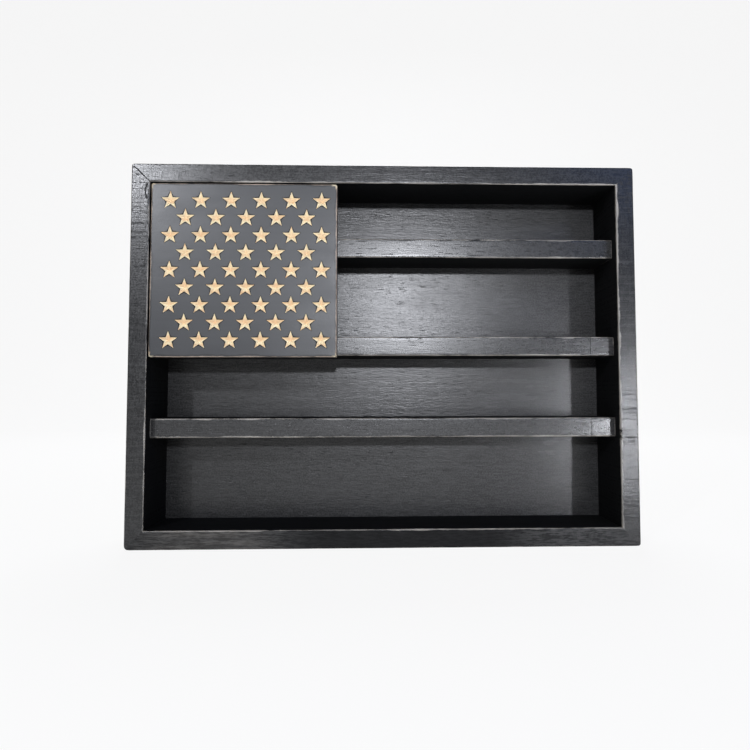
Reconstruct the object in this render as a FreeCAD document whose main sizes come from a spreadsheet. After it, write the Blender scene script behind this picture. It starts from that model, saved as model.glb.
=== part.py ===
import FreeCAD, Part
import math
import os
import Sketcher

# Wall display shelf laid out like a flag: a mitred open box with a plywood back,
# three shelves for the stripes and a panel of carved stars in the upper left corner.
# +X is to the right, +Y from the open front to the wall, +Z up, with the origin under
# the middle of the case on the surface that it stands on. Sizes are in millimetres.

SIZES = (
    ("case_width", 520.0, "outside width"),
    ("case_height", 391.5, "outside height"),
    ("case_depth", 89.0, "front edge to wall"),
    ("board_thick", 19.0, "four outer boards"),
    ("board_ease", 1.2, "rounding of the outer boards' front arrises"),
    ("corner_round", 2.0, "radius of the case's four sanded corners"),
    ("back_thick", 9.0, "plywood back, let in flush with the boards' rear edges"),
    ("shelf_thick", 20.0, "three shelves"),
    ("shelf_ease", 1.5, "rounding of the shelves' front arrises"),
    ("top_bay", 54.5, "clear height under the top board"),
    ("second_bay", 83.5, "clear height under the upper shelf"),
    ("third_bay", 64.5, "clear height under the middle shelf, the bottom bay takes the rest"),
    ("panel_thick", 16.0, "star panel, and so the shelves' set-back"),
    ("panel_width", 190.0, "star panel"),
    ("panel_side_gap", 1.5, "shadow gap between star panel and left board"),
    ("panel_top_gap", 1.3, "shadow gap between star panel and top board"),
    ("panel_overhang", 2.3, "star panel below the middle shelf's underside"),
    ("panel_corner", 2.0, "radius of the star panel's four corners"),
    ("panel_ease", 1.2, "rounding of the star panel's front arrises"),
    ("star_outer", 9.6, "centre of a star to its tips"),
    ("star_inner", 3.9, "centre of a star to its inner corners"),
    ("star_depth", 3.0, "depth of the carving at a star's centre"),
    ("star_left", 19.5, "panel's left edge to the first column"),
    ("star_right", 16.0, "last column to the panel's right edge"),
    ("star_top", 18.0, "panel's top edge to the first row"),
    ("star_bottom", 17.0, "last row to the panel's bottom edge"),
    ("nail_wire", 1.6, "square wire of the finish nails"),
    ("nail_head_width", 2.9, "head of the finish nails, the other way as thick as the wire"),
    ("nail_head_height", 1.3, "head of the finish nails"),
    ("nail_point", 2.0, "chisel tip of the finish nails"),
    ("nail_set", 0.4, "head below the surface"),
    ("nail_play", 0.1, "nail hole over nail, on width and thickness"),
    ("frame_nail_length", 38.0, "nails through the outer boards"),
    ("rear_nail_length", 30.0, "nails through the back into the shelves"),
    ("corner_nail_edge", 22.0, "corner nails from the boards' front and rear edges"),
    ("shelf_nail_edge", 16.0, "shelf nails from the shelves' front and rear edges"),
    ("rear_nail_edge", 120.0, "rear nails from the shelves' ends"),
    ("back_nail_edge", 60.0, "outermost nails of the back from its corners"),
    ("back_nail_drop", 20.0, "topmost side nail of the back below the hanger plate"),
    ("dowel_dia", 8.0, "dowels between star panel and shelves"),
    ("dowel_length", 30.0, "dowels between star panel and shelves"),
    ("dowel_play", 0.2, "dowel hole over dowel, on the diameter"),
    ("dowel_end_gap", 1.0, "glue room past each end of a dowel"),
    ("dowel_skin", 3.0, "wood left between a dowel hole and the carving"),
    ("dowel_edge", 40.0, "dowels from the star panel's side edges"),
    ("hanger_width", 14.0, "keyhole hanger plate"),
    ("hanger_length", 46.0, "keyhole hanger plate"),
    ("hanger_thick", 2.0, "keyhole hanger plate"),
    ("hanger_drop", 40.0, "top of the hanger plate below the top of the case"),
    ("hanger_play", 0.4, "recess over plate, on width and length"),
    ("keyhole_entry", 9.0, "round hole that takes the wall screw's head"),
    ("keyhole_slot", 4.6, "slot that takes the wall screw's shank"),
    ("keyhole_rise", 12.0, "entry hole's centre to the slot's end"),
    ("head_room_width", 10.4, "hollow behind the keyhole for the screw head"),
    ("head_room_depth", 6.0, "hollow behind the keyhole for the screw head"),
    ("screw_dia", 3.0, "hanger plate screws"),
    ("screw_head_dia", 5.8, "hanger plate screws"),
    ("screw_length", 14.0, "hanger plate screws"),
    ("screw_point", 3.0, "tapered tip of the plate screws"),
    ("screw_play", 0.2, "screw hole over screw, on the diameter"),
    ("screw_edge", 5.5, "plate screws from the plate's ends"),
)

STAR_POINTS = 5
STAR_COLUMNS = 6
STAR_ROWS = 5

# Places that follow from the driving sizes, with the front of the case at y = 0
REAR = "Sizes.case_depth"
BACK_FACE = "(Sizes.case_depth - Sizes.back_thick)"
SHELF_FRONT = "Sizes.panel_thick"
SHELF_DEPTH = "(Sizes.case_depth - Sizes.back_thick - Sizes.panel_thick)"
HALF_WIDTH = "(Sizes.case_width / 2)"
INSIDE_HALF = "(Sizes.case_width / 2 - Sizes.board_thick)"
BOARD_MIDDLE = "(Sizes.board_thick / 2)"
SIDE_MIDDLE = "(%s - %s)" % (HALF_WIDTH, BOARD_MIDDLE)
CEILING = "(Sizes.case_height - Sizes.board_thick)"
UPPER_LEVEL = "(%s - Sizes.top_bay - Sizes.shelf_thick / 2)" % CEILING
MIDDLE_LEVEL = "(%s - Sizes.shelf_thick - Sizes.second_bay)" % UPPER_LEVEL
LOWER_LEVEL = "(%s - Sizes.shelf_thick - Sizes.third_bay)" % MIDDLE_LEVEL
SHELVES = (
    ("upper_shelf", UPPER_LEVEL),
    ("middle_shelf", MIDDLE_LEVEL),
    ("lower_shelf", LOWER_LEVEL),
)

# Star panel
PANEL_LEFT = "(Sizes.panel_side_gap - %s)" % INSIDE_HALF
PANEL_RIGHT = "(%s + Sizes.panel_width)" % PANEL_LEFT
PANEL_TOP = "(%s - Sizes.panel_top_gap)" % CEILING
PANEL_BOTTOM = "(%s - Sizes.shelf_thick / 2 - Sizes.panel_overhang)" % MIDDLE_LEVEL
STAR_FIRST_X = "(%s + Sizes.star_left)" % PANEL_LEFT
STAR_FIRST_Z = "(%s - Sizes.star_top)" % PANEL_TOP
FIELD_WIDTH = "(Sizes.panel_width - Sizes.star_left - Sizes.star_right)"
FIELD_HEIGHT = "(%s - %s - Sizes.star_top - Sizes.star_bottom)" % (PANEL_TOP, PANEL_BOTTOM)
COLUMN_PITCH = "(%s / %d)" % (FIELD_WIDTH, STAR_COLUMNS - 1)
ROW_PITCH = "(%s / %d)" % (FIELD_HEIGHT, 2 * STAR_ROWS - 2)

# Nail and dowel seats
NAIL_HOLE = "(Sizes.nail_wire + Sizes.nail_play)"
HEAD_HOLE = "(Sizes.nail_head_width + Sizes.nail_play)"
HEAD_SEAT = "(Sizes.nail_set + Sizes.nail_head_height)"
FRAME_NAIL_TIP = "(Sizes.nail_set + Sizes.frame_nail_length)"
REAR_NAIL_TIP = "(Sizes.nail_set + Sizes.rear_nail_length)"
TOP_HEAD = "(Sizes.case_height - Sizes.nail_set)"
SIDE_HEAD = "(%s - Sizes.nail_set)" % HALF_WIDTH
BACK_MIDDLE = "(Sizes.case_depth - Sizes.back_thick / 2)"
CORNER_NAIL_Y = ("Sizes.corner_nail_edge", "(Sizes.case_depth - Sizes.corner_nail_edge)")
SHELF_NAIL_FRONT = "(%s + Sizes.shelf_nail_edge)" % SHELF_FRONT
SHELF_NAIL_Y = (SHELF_NAIL_FRONT, "(%s - Sizes.shelf_nail_edge)" % BACK_FACE)
REAR_NAIL_REACH = "(%s - Sizes.rear_nail_edge)" % INSIDE_HALF
REAR_NAIL_X = (REAR_NAIL_REACH, "-" + REAR_NAIL_REACH)
BACK_NAIL_REACH = "(%s - Sizes.back_nail_edge)" % INSIDE_HALF
BACK_NAIL_X = (BACK_NAIL_REACH, "0", "-" + BACK_NAIL_REACH)
HANGER_MIDDLE = "(Sizes.case_height - Sizes.hanger_drop - Sizes.hanger_length / 2)"
BACK_NAIL_LOW = "(Sizes.board_thick + Sizes.back_nail_edge)"
BACK_NAIL_HIGH = "(%s - Sizes.hanger_length / 2 - Sizes.back_nail_drop)" % HANGER_MIDDLE
BACK_NAIL_Z = (BACK_NAIL_LOW, BACK_NAIL_HIGH)
DOWEL_HOLE = "(Sizes.dowel_dia + Sizes.dowel_play)"
DOWEL_PANEL_DEPTH = "(Sizes.panel_thick - Sizes.star_depth - Sizes.dowel_skin)"
DOWEL_FRONT = "(%s - %s + Sizes.dowel_end_gap)" % (SHELF_FRONT, DOWEL_PANEL_DEPTH)
DOWEL_SHELF_DEPTH = "(%s + Sizes.dowel_length + Sizes.dowel_end_gap - %s)" % (DOWEL_FRONT, SHELF_FRONT)
DOWEL_X = ("(%s + Sizes.dowel_edge)" % PANEL_LEFT, "(%s - Sizes.dowel_edge)" % PANEL_RIGHT)

# Hanger seats
SCREW_REACH = "(Sizes.hanger_length / 2 - Sizes.screw_edge)"
SCREW_HOLE = "(Sizes.screw_dia + Sizes.screw_play)"
SCREW_HEAD_HEIGHT = "((Sizes.screw_head_dia - Sizes.screw_dia) / 2)"

# Tests of the finished shapes
SAME_PLACE = 1e-4
STAR_LOSS = 0.01

# Turns that take the upward axis of a nail or board into place
UPWARD = FreeCAD.Rotation()
DOWNWARD = FreeCAD.Rotation(FreeCAD.Vector(0, 1, 0), 180)
RIGHTWARD = FreeCAD.Rotation(FreeCAD.Vector(0, 1, 0), 90)
LEFTWARD = FreeCAD.Rotation(FreeCAD.Vector(0, 1, 0), -90)
FORWARD = FreeCAD.Rotation(FreeCAD.Vector(1, 0, 0), 90)
BACKWARD = FreeCAD.Rotation(FreeCAD.Vector(1, 0, 0), -90)

doc = FreeCAD.newDocument("flag_display_shelf")
pieces = []


def make_sheet():
    """The driving dimensions, one row each with its meaning."""
    sheet = doc.addObject("Spreadsheet::Sheet", "Sizes")
    for row, (alias, value, meaning) in enumerate(SIZES, start=1):
        sheet.set("A%d" % row, meaning)
        sheet.set("B%d" % row, str(value))
        sheet.setAlias("B%d" % row, alias)
    doc.recompute()


def place(item, x="0", y="0", z="0", turn=UPWARD):
    """Put an item into the case, whose middle lies at y = 0."""
    item.Placement = FreeCAD.Placement(FreeCAD.Vector(), turn)
    item.setExpression("Placement.Base.x", x)
    item.setExpression("Placement.Base.y", "%s - Sizes.case_depth / 2" % y)
    item.setExpression("Placement.Base.z", z)


def make_body(label, x="0", y="0", z="0", turn=UPWARD):
    body = doc.addObject("PartDesign::Body", label)
    place(body, x, y, z, turn)
    pieces.append(body)
    return body


def sketch_on(body, name, role, level="0"):
    """A sketch on one of the body's own origin planes, moved along its normal to a level."""
    sketch = body.newObject("Sketcher::SketchObject", name)
    planes = [plane for plane in body.Origin.OriginFeatures if plane.Role == role]
    sketch.AttachmentSupport = [(planes[0], "")]
    sketch.MapMode = "FlatFace"
    sketch.setExpression("AttachmentOffset.Base.z", level)
    return sketch


def bind(sketch, constraint, expression):
    index = sketch.addConstraint(constraint)
    sketch.setExpression("Constraints[%d]" % index, expression)


def hold(sketch, item, point, x, y):
    """Hold one point of a sketch at a place given from the sketch's origin."""
    rough = sketch.getPoint(item, point)
    bind(sketch, Sketcher.Constraint("DistanceX", -1, 1, item, point, rough.x), x)
    bind(sketch, Sketcher.Constraint("DistanceY", -1, 1, item, point, rough.y), y)


def outline(sketch, corners):
    """A closed outline of straight edges through corners that are pairs of expressions."""
    count = len(corners)
    first = sketch.GeometryCount
    rough = []
    for index in range(count):
        angle = 2 * math.pi * index / count
        rough.append(FreeCAD.Vector(math.cos(angle), math.sin(angle), 0))
    for index in range(count):
        sketch.addGeometry(Part.LineSegment(rough[index], rough[(index + 1) % count]))
    for index in range(count):
        following = first + (index + 1) % count
        sketch.addConstraint(Sketcher.Constraint("Coincident", first + index, 2, following, 1))
    for index, (x, y) in enumerate(corners):
        hold(sketch, first + index, 1, x, y)


def rectangle(sketch, left, right, bottom, top):
    outline(sketch, ((left, bottom), (right, bottom), (right, top), (left, top)))


def circle(sketch, x, y, diameter):
    item = sketch.addGeometry(Part.Circle(FreeCAD.Vector(0, 0, 0), FreeCAD.Vector(0, 0, 1), 1.0))
    bind(sketch, Sketcher.Constraint("Diameter", item, 2.0), diameter)
    hold(sketch, item, 3, x, y)


def round_slot(sketch, first, second, width, upright):
    """A slot with round ends about two centres, the second to the right of or above the first."""
    quarter = math.pi / 2
    turned = quarter if upright else 0.0
    along = FreeCAD.Vector(math.cos(turned), math.sin(turned), 0)
    across = FreeCAD.Vector(-along.y, along.x, 0)
    unit = FreeCAD.Vector(0, 0, 1)
    far_arc = Part.Circle(along, unit, 1.0)
    near_arc = Part.Circle(-along, unit, 1.0)
    far = sketch.addGeometry(Part.ArcOfCircle(far_arc, turned - quarter, turned + quarter))
    near = sketch.addGeometry(Part.ArcOfCircle(near_arc, turned + quarter, turned + 3 * quarter))
    upper = sketch.addGeometry(Part.LineSegment(along + across, across - along))
    lower = sketch.addGeometry(Part.LineSegment(-along - across, along - across))
    ring = (far, upper, near, lower)
    for index, item in enumerate(ring):
        sketch.addConstraint(Sketcher.Constraint("Tangent", item, 2, ring[(index + 1) % len(ring)], 1))
    sketch.addConstraint(Sketcher.Constraint("Equal", far, near))
    bind(sketch, Sketcher.Constraint("Diameter", far, 2.0), width)
    hold(sketch, near, 3, *first)
    hold(sketch, far, 3, *second)


def mitred_face(sketch, half):
    """A board's front: outer edge at the bottom, ends mitred, tips rounded about the case's corners."""
    reach = sketch.evalExpression(half)
    thick = doc.Sizes.board_thick
    radius = doc.Sizes.corner_round
    upward = FreeCAD.Vector(0, 0, 1)
    inner_right = FreeCAD.Vector(reach - thick, thick, 0)
    inner_left = FreeCAD.Vector(thick - reach, thick, 0)
    right_circle = Part.Circle(FreeCAD.Vector(reach - radius, radius, 0), upward, radius)
    left_circle = Part.Circle(FreeCAD.Vector(radius - reach, radius, 0), upward, radius)
    right_arc = Part.ArcOfCircle(right_circle, -math.pi / 2, -math.pi / 4)
    left_arc = Part.ArcOfCircle(left_circle, -3 * math.pi / 4, -math.pi / 2)
    outer = sketch.addGeometry(Part.LineSegment(left_arc.EndPoint, right_arc.StartPoint))
    right_tip = sketch.addGeometry(right_arc)
    right_mitre = sketch.addGeometry(Part.LineSegment(right_arc.EndPoint, inner_right))
    inner = sketch.addGeometry(Part.LineSegment(inner_right, inner_left))
    left_mitre = sketch.addGeometry(Part.LineSegment(inner_left, left_arc.StartPoint))
    left_tip = sketch.addGeometry(left_arc)
    ring = (outer, right_tip, right_mitre, inner, left_mitre, left_tip)
    for index, item in enumerate(ring):
        following = ring[(index + 1) % len(ring)]
        kind = "Tangent" if outer in (item, following) else "Coincident"
        sketch.addConstraint(Sketcher.Constraint(kind, item, 2, following, 1))
    sketch.addConstraint(Sketcher.Constraint("Equal", right_tip, left_tip))
    sketch.addConstraint(Sketcher.Constraint("PointOnObject", right_tip, 3, right_mitre))
    sketch.addConstraint(Sketcher.Constraint("PointOnObject", left_tip, 3, left_mitre))
    bind(sketch, Sketcher.Constraint("Radius", right_tip, radius), "Sizes.corner_round")
    hold(sketch, right_tip, 3, "%s - Sizes.corner_round" % half, "Sizes.corner_round")
    hold(sketch, left_tip, 3, "Sizes.corner_round - %s" % half, "Sizes.corner_round")
    hold(sketch, inner, 1, "%s - Sizes.board_thick" % half, "Sizes.board_thick")
    hold(sketch, inner, 2, "Sizes.board_thick - %s" % half, "Sizes.board_thick")


def pad(body, sketch, length, reverse=False):
    feature = body.newObject("PartDesign::Pad", sketch.Name + "_pad")
    feature.Profile = sketch
    feature.setExpression("Length", length)
    feature.Reversed = reverse
    doc.recompute()


def pocket(body, sketch, depth, with_normal):
    """Cut a sketch's outlines out of a body, and make sure that wood or metal came away."""
    before = body.Shape.Volume
    feature = body.newObject("PartDesign::Pocket", sketch.Name + "_cut")
    feature.Profile = sketch
    feature.setExpression("Length", depth)
    feature.Reversed = with_normal
    doc.recompute()
    if not body.Shape.Volume < before:
        raise RuntimeError("%s cuts nothing" % feature.Name)


def drill(body, name, role, level, seats, diameter, depth, with_normal):
    sketch = sketch_on(body, name, role, level)
    for x, y in seats:
        circle(sketch, x, y, diameter)
    pocket(body, sketch, depth, with_normal)


def nail_holes(body, name, role, level, seats, width, depth, with_normal):
    """Holes for the nails' square wire, or as wide along the sketch's X as a nail head."""
    sketch = sketch_on(body, name, role, level)
    half_width = "%s / 2" % width
    half_thick = "%s / 2" % NAIL_HOLE
    for x, y in seats:
        left = "%s - %s" % (x, half_width)
        right = "%s + %s" % (x, half_width)
        rectangle(sketch, left, right, "%s - %s" % (y, half_thick), "%s + %s" % (y, half_thick))
    pocket(body, sketch, depth, with_normal)


def dress_edges(body, name, kind, measure, size, wanted):
    """Fillet or chamfer the edges that a test picks by their bounding box."""
    base = body.Tip
    picked = []
    for index, edge in enumerate(base.Shape.Edges, start=1):
        if wanted(edge.BoundBox):
            picked.append("Edge%d" % index)
    feature = body.newObject("PartDesign::" + kind, name)
    feature.Base = (base, picked)
    feature.setExpression(measure, size)
    doc.recompute()


def ease(body, name, radius, wanted):
    dress_edges(body, name, "Fillet", "Radius", radius, wanted)


def flat(low, high, level):
    """Whether an extent lies within a plane at a level."""
    return abs(low - level) < SAME_PLACE and abs(high - level) < SAME_PLACE


def pairs(first, second):
    """Every place with one of the first values and one of the second."""
    return [(one, other) for one in first for other in second]


def frame_board(label, length, x, z, turn):
    """One outer board along its own X, outer face down and front edge at y = 0, mitred at both ends."""
    body = make_body(label, x, "0", z, turn)
    sketch = sketch_on(body, label + "_face", "XZ_Plane")
    mitred_face(sketch, "%s / 2" % length)
    pad(body, sketch, "Sizes.case_depth", reverse=True)

    def front_arris(box):
        return flat(box.YMin, box.YMax, 0) and box.ZLength < SAME_PLACE

    ease(body, label + "_eased", "Sizes.board_ease", front_arris)
    return body


def nail_through(body, name, seats):
    """Holes for nails driven in through an outer board's outer face, with room for their heads."""
    nail_holes(body, name, "XY_Plane", "0", seats, NAIL_HOLE, "Sizes.board_thick", True)
    nail_holes(body, name + "_heads", "XY_Plane", "0", seats, HEAD_HOLE, HEAD_SEAT, True)


def level_board(label, z, turn):
    """Top or bottom board, nailed at its corners to the side boards."""
    body = frame_board(label, "Sizes.case_width", "0", z, turn)
    nail_through(body, label + "_corner_nails", pairs((SIDE_MIDDLE, "-" + SIDE_MIDDLE), CORNER_NAIL_Y))
    nail_through(body, label + "_back_nails", pairs(BACK_NAIL_X, (BACK_MIDDLE,)))


def hanger_recess(body, label, middle):
    """Recess for a keyhole plate in a side board's rear edge, with the screw head's hollow behind it."""
    plate_length = "Sizes.hanger_length + Sizes.hanger_play"
    plate_width = "(Sizes.hanger_width + Sizes.hanger_play)"
    room_length = "Sizes.keyhole_rise + Sizes.head_room_width"
    recesses = (
        ("_plate", plate_length, plate_width, "0"),
        ("_hollow", room_length, "Sizes.head_room_width", "Sizes.head_room_depth"),
    )
    for name, length, width, extra in recesses:
        sketch = sketch_on(body, label + name, "XZ_Plane", "-" + REAR)
        reach = "(%s - %s) / 2" % (length, width)
        first = ("%s - %s" % (middle, reach), BOARD_MIDDLE)
        second = ("%s + %s" % (middle, reach), BOARD_MIDDLE)
        round_slot(sketch, first, second, width, upright=False)
        pocket(body, sketch, "Sizes.hanger_thick + %s" % extra, True)
    seats = [("%s %s %s" % (middle, sign, SCREW_REACH), BOARD_MIDDLE) for sign in "+-"]
    drill(body, label + "_screws", "XZ_Plane", "-" + REAR, seats, SCREW_HOLE, "Sizes.screw_length", True)


def side_board(label, side, turn):
    """Left or right board: nail holes for the shelves, the back and the mitres, and the hanger's recess."""
    outside = "%d * %s" % (side, HALF_WIDTH)
    body = frame_board(label, "Sizes.case_height", outside, "Sizes.case_height / 2", turn)

    def along(height):
        return "%d * (%s - Sizes.case_height / 2)" % (side, height)

    nail_through(body, label + "_shelf_nails", pairs([along(z) for name, z in SHELVES], SHELF_NAIL_Y))
    nail_through(body, label + "_back_nails", pairs([along(z) for z in BACK_NAIL_Z], (BACK_MIDDLE,)))
    seats = pairs(CORNER_NAIL_Y, (BOARD_MIDDLE,))
    for end, sign, inward in (("_low_end", "-", True), ("_high_end", "", False)):
        level = "%sSizes.case_height / 2" % sign
        nail_holes(body, label + end, "YZ_Plane", level, seats, NAIL_HOLE, FRAME_NAIL_TIP, inward)
    hanger_recess(body, label + "_hanger", along(HANGER_MIDDLE))


def back_panel():
    """Plywood back, let in between the outer boards and nailed through them and into the shelves."""
    body = make_body("back_panel")
    sketch = sketch_on(body, "back_face", "XZ_Plane", "-" + BACK_FACE)
    rectangle(sketch, "-" + INSIDE_HALF, INSIDE_HALF, "Sizes.board_thick", CEILING)
    pad(body, sketch, "Sizes.back_thick", reverse=True)
    rear = "-" + REAR
    shelf_seats = pairs(REAR_NAIL_X, [z for name, z in SHELVES])
    nail_holes(body, "back_shelf_nails", "XZ_Plane", rear, shelf_seats, NAIL_HOLE, "Sizes.back_thick", True)
    nail_holes(body, "back_shelf_heads", "XZ_Plane", rear, shelf_seats, HEAD_HOLE, HEAD_SEAT, True)
    depth = "%s - Sizes.board_thick" % FRAME_NAIL_TIP
    level_seats = pairs(BACK_NAIL_X, (BACK_MIDDLE,))
    nail_holes(body, "back_low_edge", "XY_Plane", "Sizes.board_thick", level_seats, NAIL_HOLE, depth, True)
    nail_holes(body, "back_high_edge", "XY_Plane", CEILING, level_seats, NAIL_HOLE, depth, False)
    side_seats = pairs((BACK_MIDDLE,), BACK_NAIL_Z)
    nail_holes(body, "back_left_edge", "YZ_Plane", "-" + INSIDE_HALF, side_seats, NAIL_HOLE, depth, True)
    nail_holes(body, "back_right_edge", "YZ_Plane", INSIDE_HALF, side_seats, NAIL_HOLE, depth, False)


def shelf(label, middle, carries_panel):
    """A shelf between the side boards, set back from the front by the star panel's thickness."""
    body = make_body(label)
    sketch = sketch_on(body, label + "_face", "XZ_Plane", "-" + SHELF_FRONT)
    bottom = "%s - Sizes.shelf_thick / 2" % middle
    top = "%s + Sizes.shelf_thick / 2" % middle
    rectangle(sketch, "-" + INSIDE_HALF, INSIDE_HALF, bottom, top)
    pad(body, sketch, SHELF_DEPTH, reverse=True)
    blank = body.Tip.Shape.BoundBox

    def front_arris(box):
        return flat(box.YMin, box.YMax, blank.YMin) and flat(box.XLength, box.XLength, blank.XLength)

    ease(body, label + "_eased", "Sizes.shelf_ease", front_arris)
    depth = "%s - Sizes.board_thick" % FRAME_NAIL_TIP
    seats = pairs(SHELF_NAIL_Y, (middle,))
    nail_holes(body, label + "_left_end", "YZ_Plane", "-" + INSIDE_HALF, seats, NAIL_HOLE, depth, True)
    nail_holes(body, label + "_right_end", "YZ_Plane", INSIDE_HALF, seats, NAIL_HOLE, depth, False)
    rear_depth = "%s - Sizes.back_thick" % REAR_NAIL_TIP
    rear_seats = pairs(REAR_NAIL_X, (middle,))
    nail_holes(body, label + "_rear", "XZ_Plane", "-" + BACK_FACE, rear_seats, NAIL_HOLE, rear_depth, True)
    if carries_panel:
        seats = pairs(DOWEL_X, (middle,))
        front = "-" + SHELF_FRONT
        drill(body, label + "_dowels", "XZ_Plane", front, seats, DOWEL_HOLE, DOWEL_SHELF_DEPTH, False)


def carve_stars(body, name, x, z, columns, rows):
    """A block of stars, each carved in ten facets that run down to its centre."""
    before = body.Shape.Volume
    star = sketch_on(body, name + "_outline", "XZ_Plane")
    corners = []
    for index in range(2 * STAR_POINTS):
        radius = "Sizes.star_inner" if index % 2 else "Sizes.star_outer"
        angle = 180.0 / STAR_POINTS * index
        across = "%s + %s * sin(%g deg)" % (x, radius, angle)
        up = "%s + %s * cos(%g deg)" % (z, radius, angle)
        corners.append((across, up))
    outline(star, corners)
    bottom = sketch_on(body, name + "_centre", "XZ_Plane", "-Sizes.star_depth")
    bottom.addGeometry(Part.Point(FreeCAD.Vector(0, 0, 0)))
    hold(bottom, 0, 1, x, z)
    doc.recompute()
    cut = body.newObject("PartDesign::SubtractiveLoft", name + "_cut")
    cut.Profile = star
    cut.Sections = [(bottom, ["Vertex1"])]
    cut.Ruled = True
    doc.recompute()
    one_star = before - body.Shape.Volume
    field = body.newObject("PartDesign::LinearPattern", name + "_field")
    field.Originals = [cut]
    field.Direction = (star, ["H_Axis"])
    field.Mode = "Extent"
    field.setExpression("Length", "%d * %s" % (columns - 1, COLUMN_PITCH))
    field.Occurrences = columns
    field.Direction2 = (star, ["V_Axis"])
    field.Reversed2 = True
    field.Mode2 = "Extent"
    field.setExpression("Length2", "%d * %s" % (2 * rows - 2, ROW_PITCH))
    field.Occurrences2 = rows
    body.Tip = field
    doc.recompute()
    if abs(before - body.Shape.Volume - columns * rows * one_star) > STAR_LOSS * one_star:
        raise RuntimeError("%s lacks stars" % name)


def star_panel():
    """Panel of fifty stars in nine rows of six and five, dowelled to the two shelves behind it."""
    body = make_body("star_panel")
    sketch = sketch_on(body, "panel_face", "XZ_Plane")
    rectangle(sketch, PANEL_LEFT, PANEL_RIGHT, PANEL_BOTTOM, PANEL_TOP)
    pad(body, sketch, "Sizes.panel_thick", reverse=True)
    ease(body, "panel_corners", "Sizes.panel_corner", lambda box: max(box.XLength, box.ZLength) < SAME_PLACE)
    ease(body, "panel_eased", "Sizes.panel_ease", lambda box: flat(box.YMin, box.YMax, 0))
    seats = pairs(DOWEL_X, (UPPER_LEVEL, MIDDLE_LEVEL))
    drill(body, "panel_dowels", "XZ_Plane", "-" + SHELF_FRONT, seats, DOWEL_HOLE, DOWEL_PANEL_DEPTH, True)
    carve_stars(body, "full_row_star", STAR_FIRST_X, STAR_FIRST_Z, STAR_COLUMNS, STAR_ROWS)
    between_x = "%s + %s / 2" % (STAR_FIRST_X, COLUMN_PITCH)
    between_z = "%s - %s" % (STAR_FIRST_Z, ROW_PITCH)
    carve_stars(body, "short_row_star", between_x, between_z, STAR_COLUMNS - 1, STAR_ROWS - 1)


def nail(name, length):
    """Finish nail of square wire with its wide head at the origin and its chisel tip upwards."""
    body = doc.addObject("PartDesign::Body", name)
    sketch = sketch_on(body, name + "_side", "XZ_Plane", "-Sizes.nail_wire / 2")
    head = "Sizes.nail_head_width / 2"
    wire = "Sizes.nail_wire / 2"
    right = [
        (head, "0"),
        (head, "Sizes.nail_head_height"),
        (wire, "Sizes.nail_head_height"),
        (wire, "%s - Sizes.nail_point" % length),
    ]
    left = [("-" + x, z) for x, z in reversed(right)]
    outline(sketch, right + [("0", length)] + left)
    pad(body, sketch, "Sizes.nail_wire")
    return body


def dowel():
    """Plain dowel from the origin upwards."""
    body = doc.addObject("PartDesign::Body", "dowel")
    sketch = sketch_on(body, "dowel_end", "XY_Plane")
    circle(sketch, "0", "0", "Sizes.dowel_dia")
    pad(body, sketch, "Sizes.dowel_length")
    return body


def plate_screw():
    """Countersunk screw with its head at the origin and its tip upwards."""
    body = doc.addObject("PartDesign::Body", "plate_screw")
    sketch = sketch_on(body, "screw_profile", "XZ_Plane")
    shank = "Sizes.screw_dia / 2"
    profile = (
        ("0", "0"),
        ("Sizes.screw_head_dia / 2", "0"),
        (shank, SCREW_HEAD_HEIGHT),
        (shank, "Sizes.screw_length - Sizes.screw_point"),
        ("0", "Sizes.screw_length"),
    )
    outline(sketch, profile)
    revolution = body.newObject("PartDesign::Revolution", "screw_turned")
    revolution.Profile = sketch
    revolution.ReferenceAxis = (sketch, ["V_Axis"])
    revolution.Angle = 360.0
    doc.recompute()
    return body


def group(label, piece, seats):
    """Copies of one piece at their seats, each a solid of its own in one group."""
    copies = []
    for x, y, z, turn in seats:
        copy = doc.addObject("App::Link", "%s_%d" % (label, len(copies) + 1))
        copy.LinkedObject = piece
        place(copy, x, y, z, turn)
        copies.append(copy)
    compound = doc.addObject("Part::Compound", label)
    compound.Links = copies
    pieces.append(compound)


def hanger_plate(label, side):
    """Keyhole plate: two screw holes, and between them a round entry that opens into a slot above it."""
    body = make_body(label, "%d * %s" % (side, SIDE_MIDDLE), REAR, HANGER_MIDDLE)
    sketch = sketch_on(body, label + "_face", "XZ_Plane")
    reach = "(Sizes.hanger_length - Sizes.hanger_width) / 2"
    round_slot(sketch, ("0", "-" + reach), ("0", reach), "Sizes.hanger_width", upright=True)
    pad(body, sketch, "Sizes.hanger_thick")
    rise = "Sizes.keyhole_rise / 2"
    slot = sketch_on(body, label + "_slot", "XZ_Plane")
    round_slot(slot, ("0", "-" + rise), ("0", rise), "Sizes.keyhole_slot", upright=True)
    pocket(body, slot, "Sizes.hanger_thick", True)
    entry = [("0", "-" + rise)]
    drill(body, label + "_entry", "XZ_Plane", "0", entry, "Sizes.keyhole_entry", "Sizes.hanger_thick", True)
    seats = [("0", sign + SCREW_REACH) for sign in ("", "-")]
    drill(body, label + "_screws", "XZ_Plane", "0", seats, SCREW_HOLE, "Sizes.hanger_thick", True)

    def screw_rim(box):
        return flat(box.YMin, box.YMax, 0) and flat(box.XLength, box.XLength, box.ZLength)

    dress_edges(body, label + "_sunk", "Chamfer", "Size", SCREW_HEAD_HEIGHT, screw_rim)


def corner_seats():
    """Heads of the nails that hold the mitres, driven in from below and above."""
    seats = []
    for x, y in pairs((SIDE_MIDDLE, "-" + SIDE_MIDDLE), CORNER_NAIL_Y):
        seats.append((x, y, "Sizes.nail_set", UPWARD))
        seats.append((x, y, TOP_HEAD, DOWNWARD))
    return seats


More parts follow.
